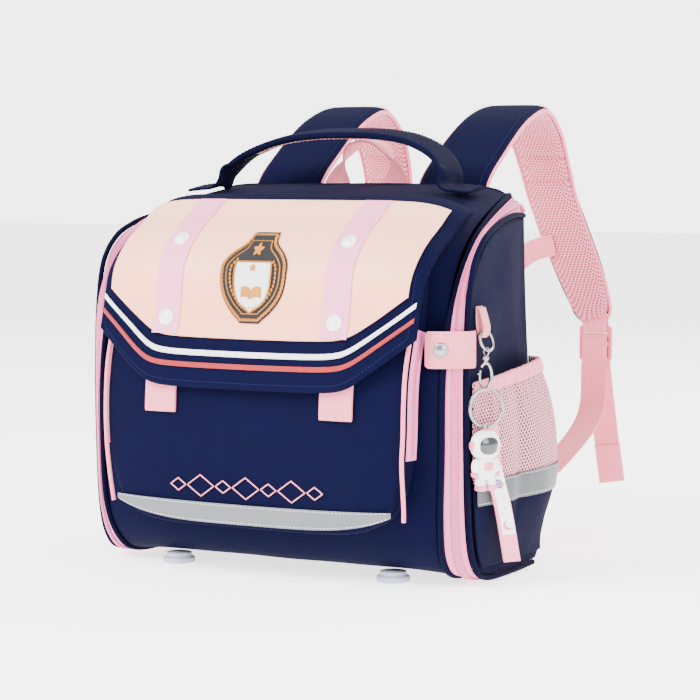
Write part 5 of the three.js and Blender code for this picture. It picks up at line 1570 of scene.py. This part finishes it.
pink += turned(knob, at_charm(0, 0, 24.0), UP, 24)
piece("astronaut_trim", pink, "charm_pink", slot="pink_plastic")
a = np.linspace(0, 2 * np.pi, 40, endpoint=False)
link = at_charm(-1.0, 2.0, 27.0) + np.outer(2.6 * np.cos(a), WIDE) + np.outer(2.9 * np.sin(a), UP)
piece("charm_link", carried(link, OUT, oval(0.5, 0.5, 8), ring=True), "steel", slot="steel")
print("astronaut:", made["astronaut_suit"], "faces")


# %% Printed strap
def printed_strap():
    """Pink strap with a pale field, a ringed planet, stars and a red crescent."""
    finish = Finish("printed_strap", Coat_Weight=0.2, Coat_Roughness=0.2, Specular_IOR_Level=0.4)
    across, along = finish.weave()
    middle = across - 9.5
    inside = 1 - middle.calc("ABSOLUTE").between(6.2, 6.6)
    field = along.between(34, 34.5) * (1 - along.between(94, 94.5)) * inside
    clouds = finish.noise(300.0)
    colour = finish.mix(clouds * 0.3, (0.90, 0.25, 0.35), (0.80, 0.18, 0.28))
    colour = finish.mix(field, colour, (0.93, 0.90, 0.90))

    def disc_mask(x, z, wide, high):
        a = (middle - x) / wide
        b = (along - z) / high
        return 1 - (a * a + b * b).calc("SQRT").between(0.94, 1.06)

    ring = disc_mask(0, 50, 6.0, 2.0) * (1 - disc_mask(0, 50, 4.8, 1.0))
    planet = disc_mask(0, 50, 3.9, 4.2)
    colour = finish.mix(planet, colour, (0.10, 0.12, 0.42))
    colour = finish.mix(ring, colour, (0.90, 0.28, 0.16))
    stars = ((-3.6, 40, 1.0), (3.4, 61, 1.2), (-3.0, 64, 0.8),
             (0.6, 71, 1.4), (-4.0, 76, 0.9), (3.8, 80, 1.0))
    for x, z, size in stars:
        colour = finish.mix(disc_mask(x, z, size * 0.45, size), colour, (0.90, 0.50, 0.10))
        colour = finish.mix(disc_mask(x, z, size, size * 0.45), colour, (0.90, 0.50, 0.10))
    colour = finish.mix(disc_mask(0, 86.5, 4.6, 4.2), colour, (0.80, 0.16, 0.16))
    colour = finish.mix(disc_mask(1.9, 85.4, 3.7, 3.5), colour, (0.93, 0.90, 0.90))
    return finish.done(colour, 0.32 + clouds * 0.1, clouds, 0.04)


FINISHES["printed_strap"] = printed_strap()
strap_line = np.array([
    [loop_x + line_out + 0.75, hang_y + 0.3, ring_foot + 3],
    [loop_x + line_out + 2, hang_y + 4, ring_foot - 30],
    [loop_x + line_out + 6, hang_y + 14, ring_foot - 65],
    [loop_x + line_out + 9, hang_y + 26, ring_foot - 112],
])
path = line_through(strap_line, even=130)
u = np.linspace(-1, 1, 20)
width_line = path[:, None] + WIDE * (8.5 * u)[None, :, None]
piece("printed_strap", slab(width_line, -1.0, 1.0, 1.0), "printed_strap", "charm_tag")
rivet_at = path[18] + OUT * 0.9
rivet_shape = [(0, -2.2), (3.6, -2.2), (3.8, -1.6), (3.8, 0.5), (3.2, 1.0), (1.8, 1.3), (0, 1.4)]
piece("strap_rivet", turned(rivet_shape, rivet_at, OUT), "steel", slot="steel")
print("printed strap:", made["printed_strap"], "faces")

# %% [markdown]
# ## Feet
# Four stepped plastic feet are riveted under the bottom. A foot is a turned profile, so its step, its
# rounded rim and the neck that meets the cloth come from one table of radius and height.

# %% Turned feet
FOOT = [(0, 0), (11.4, 0), (12.8, 0.02), (13.7, 0.06), (14, 0.14), (14, 0.42), (13.7, 0.52), (13, 0.58),
        (11.6, 0.62),
        (11.2, 0.68), (11.2, 0.94), (10.8, 1.0), (0, 1.0)]
for name in ("foot_front", "foot_rear"):
    low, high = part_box(name + "_right")
    middle = np.array((low + high) / 2) * 1000 - MIDDLE
    middle[2] = 0
    tall = (high.z - low.z) * 1000
    profile = [(r, h * tall) for r, h in FOOT]
    both(name + "_turned", turned(profile, middle, UP, 64), "foot_plastic", name)
print("feet done")

# %% [markdown]
# ## Floor and sizes
# The floor is a wide pale sheet that catches a soft shadow. Every solid that no piece replaced would
# still show its plain colour, so the last cell names any that are left and gives the box of the
# dressed model.

# %% Floor
finish = Finish("floor", Specular_IOR_Level=0.1, Emission_Color=(1, 1, 1, 1), Emission_Strength=2.2)
floor_paint = finish.mix(finish.noise(3.0) * 0.1, (0.93, 0.93, 0.94), (0.90, 0.90, 0.91))
FINISHES["floor"] = finish.done(floor_paint, 0.75)
mesh = bpy.data.meshes.new("floor")
mesh.from_pydata([(-9, -9, 0), (9, -9, 0), (9, 9, 0), (-9, 9, 0)], [], [(0, 1, 2, 3)])
mesh.materials.append(FINISHES["floor"])
floor = bpy.data.objects.new("floor", mesh)
bpy.context.scene.collection.objects.link(floor)
floor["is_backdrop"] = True
print("floor laid")

# %% Sizes
left = [o.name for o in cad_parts.values() if not o.hide_render]
print("solids still shown:", left)
bpy.context.view_layer.update()
low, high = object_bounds()
print("visual box in metres:", [round(v, 4) for v in (*low, *high)], "faces:", sum(made.values()))
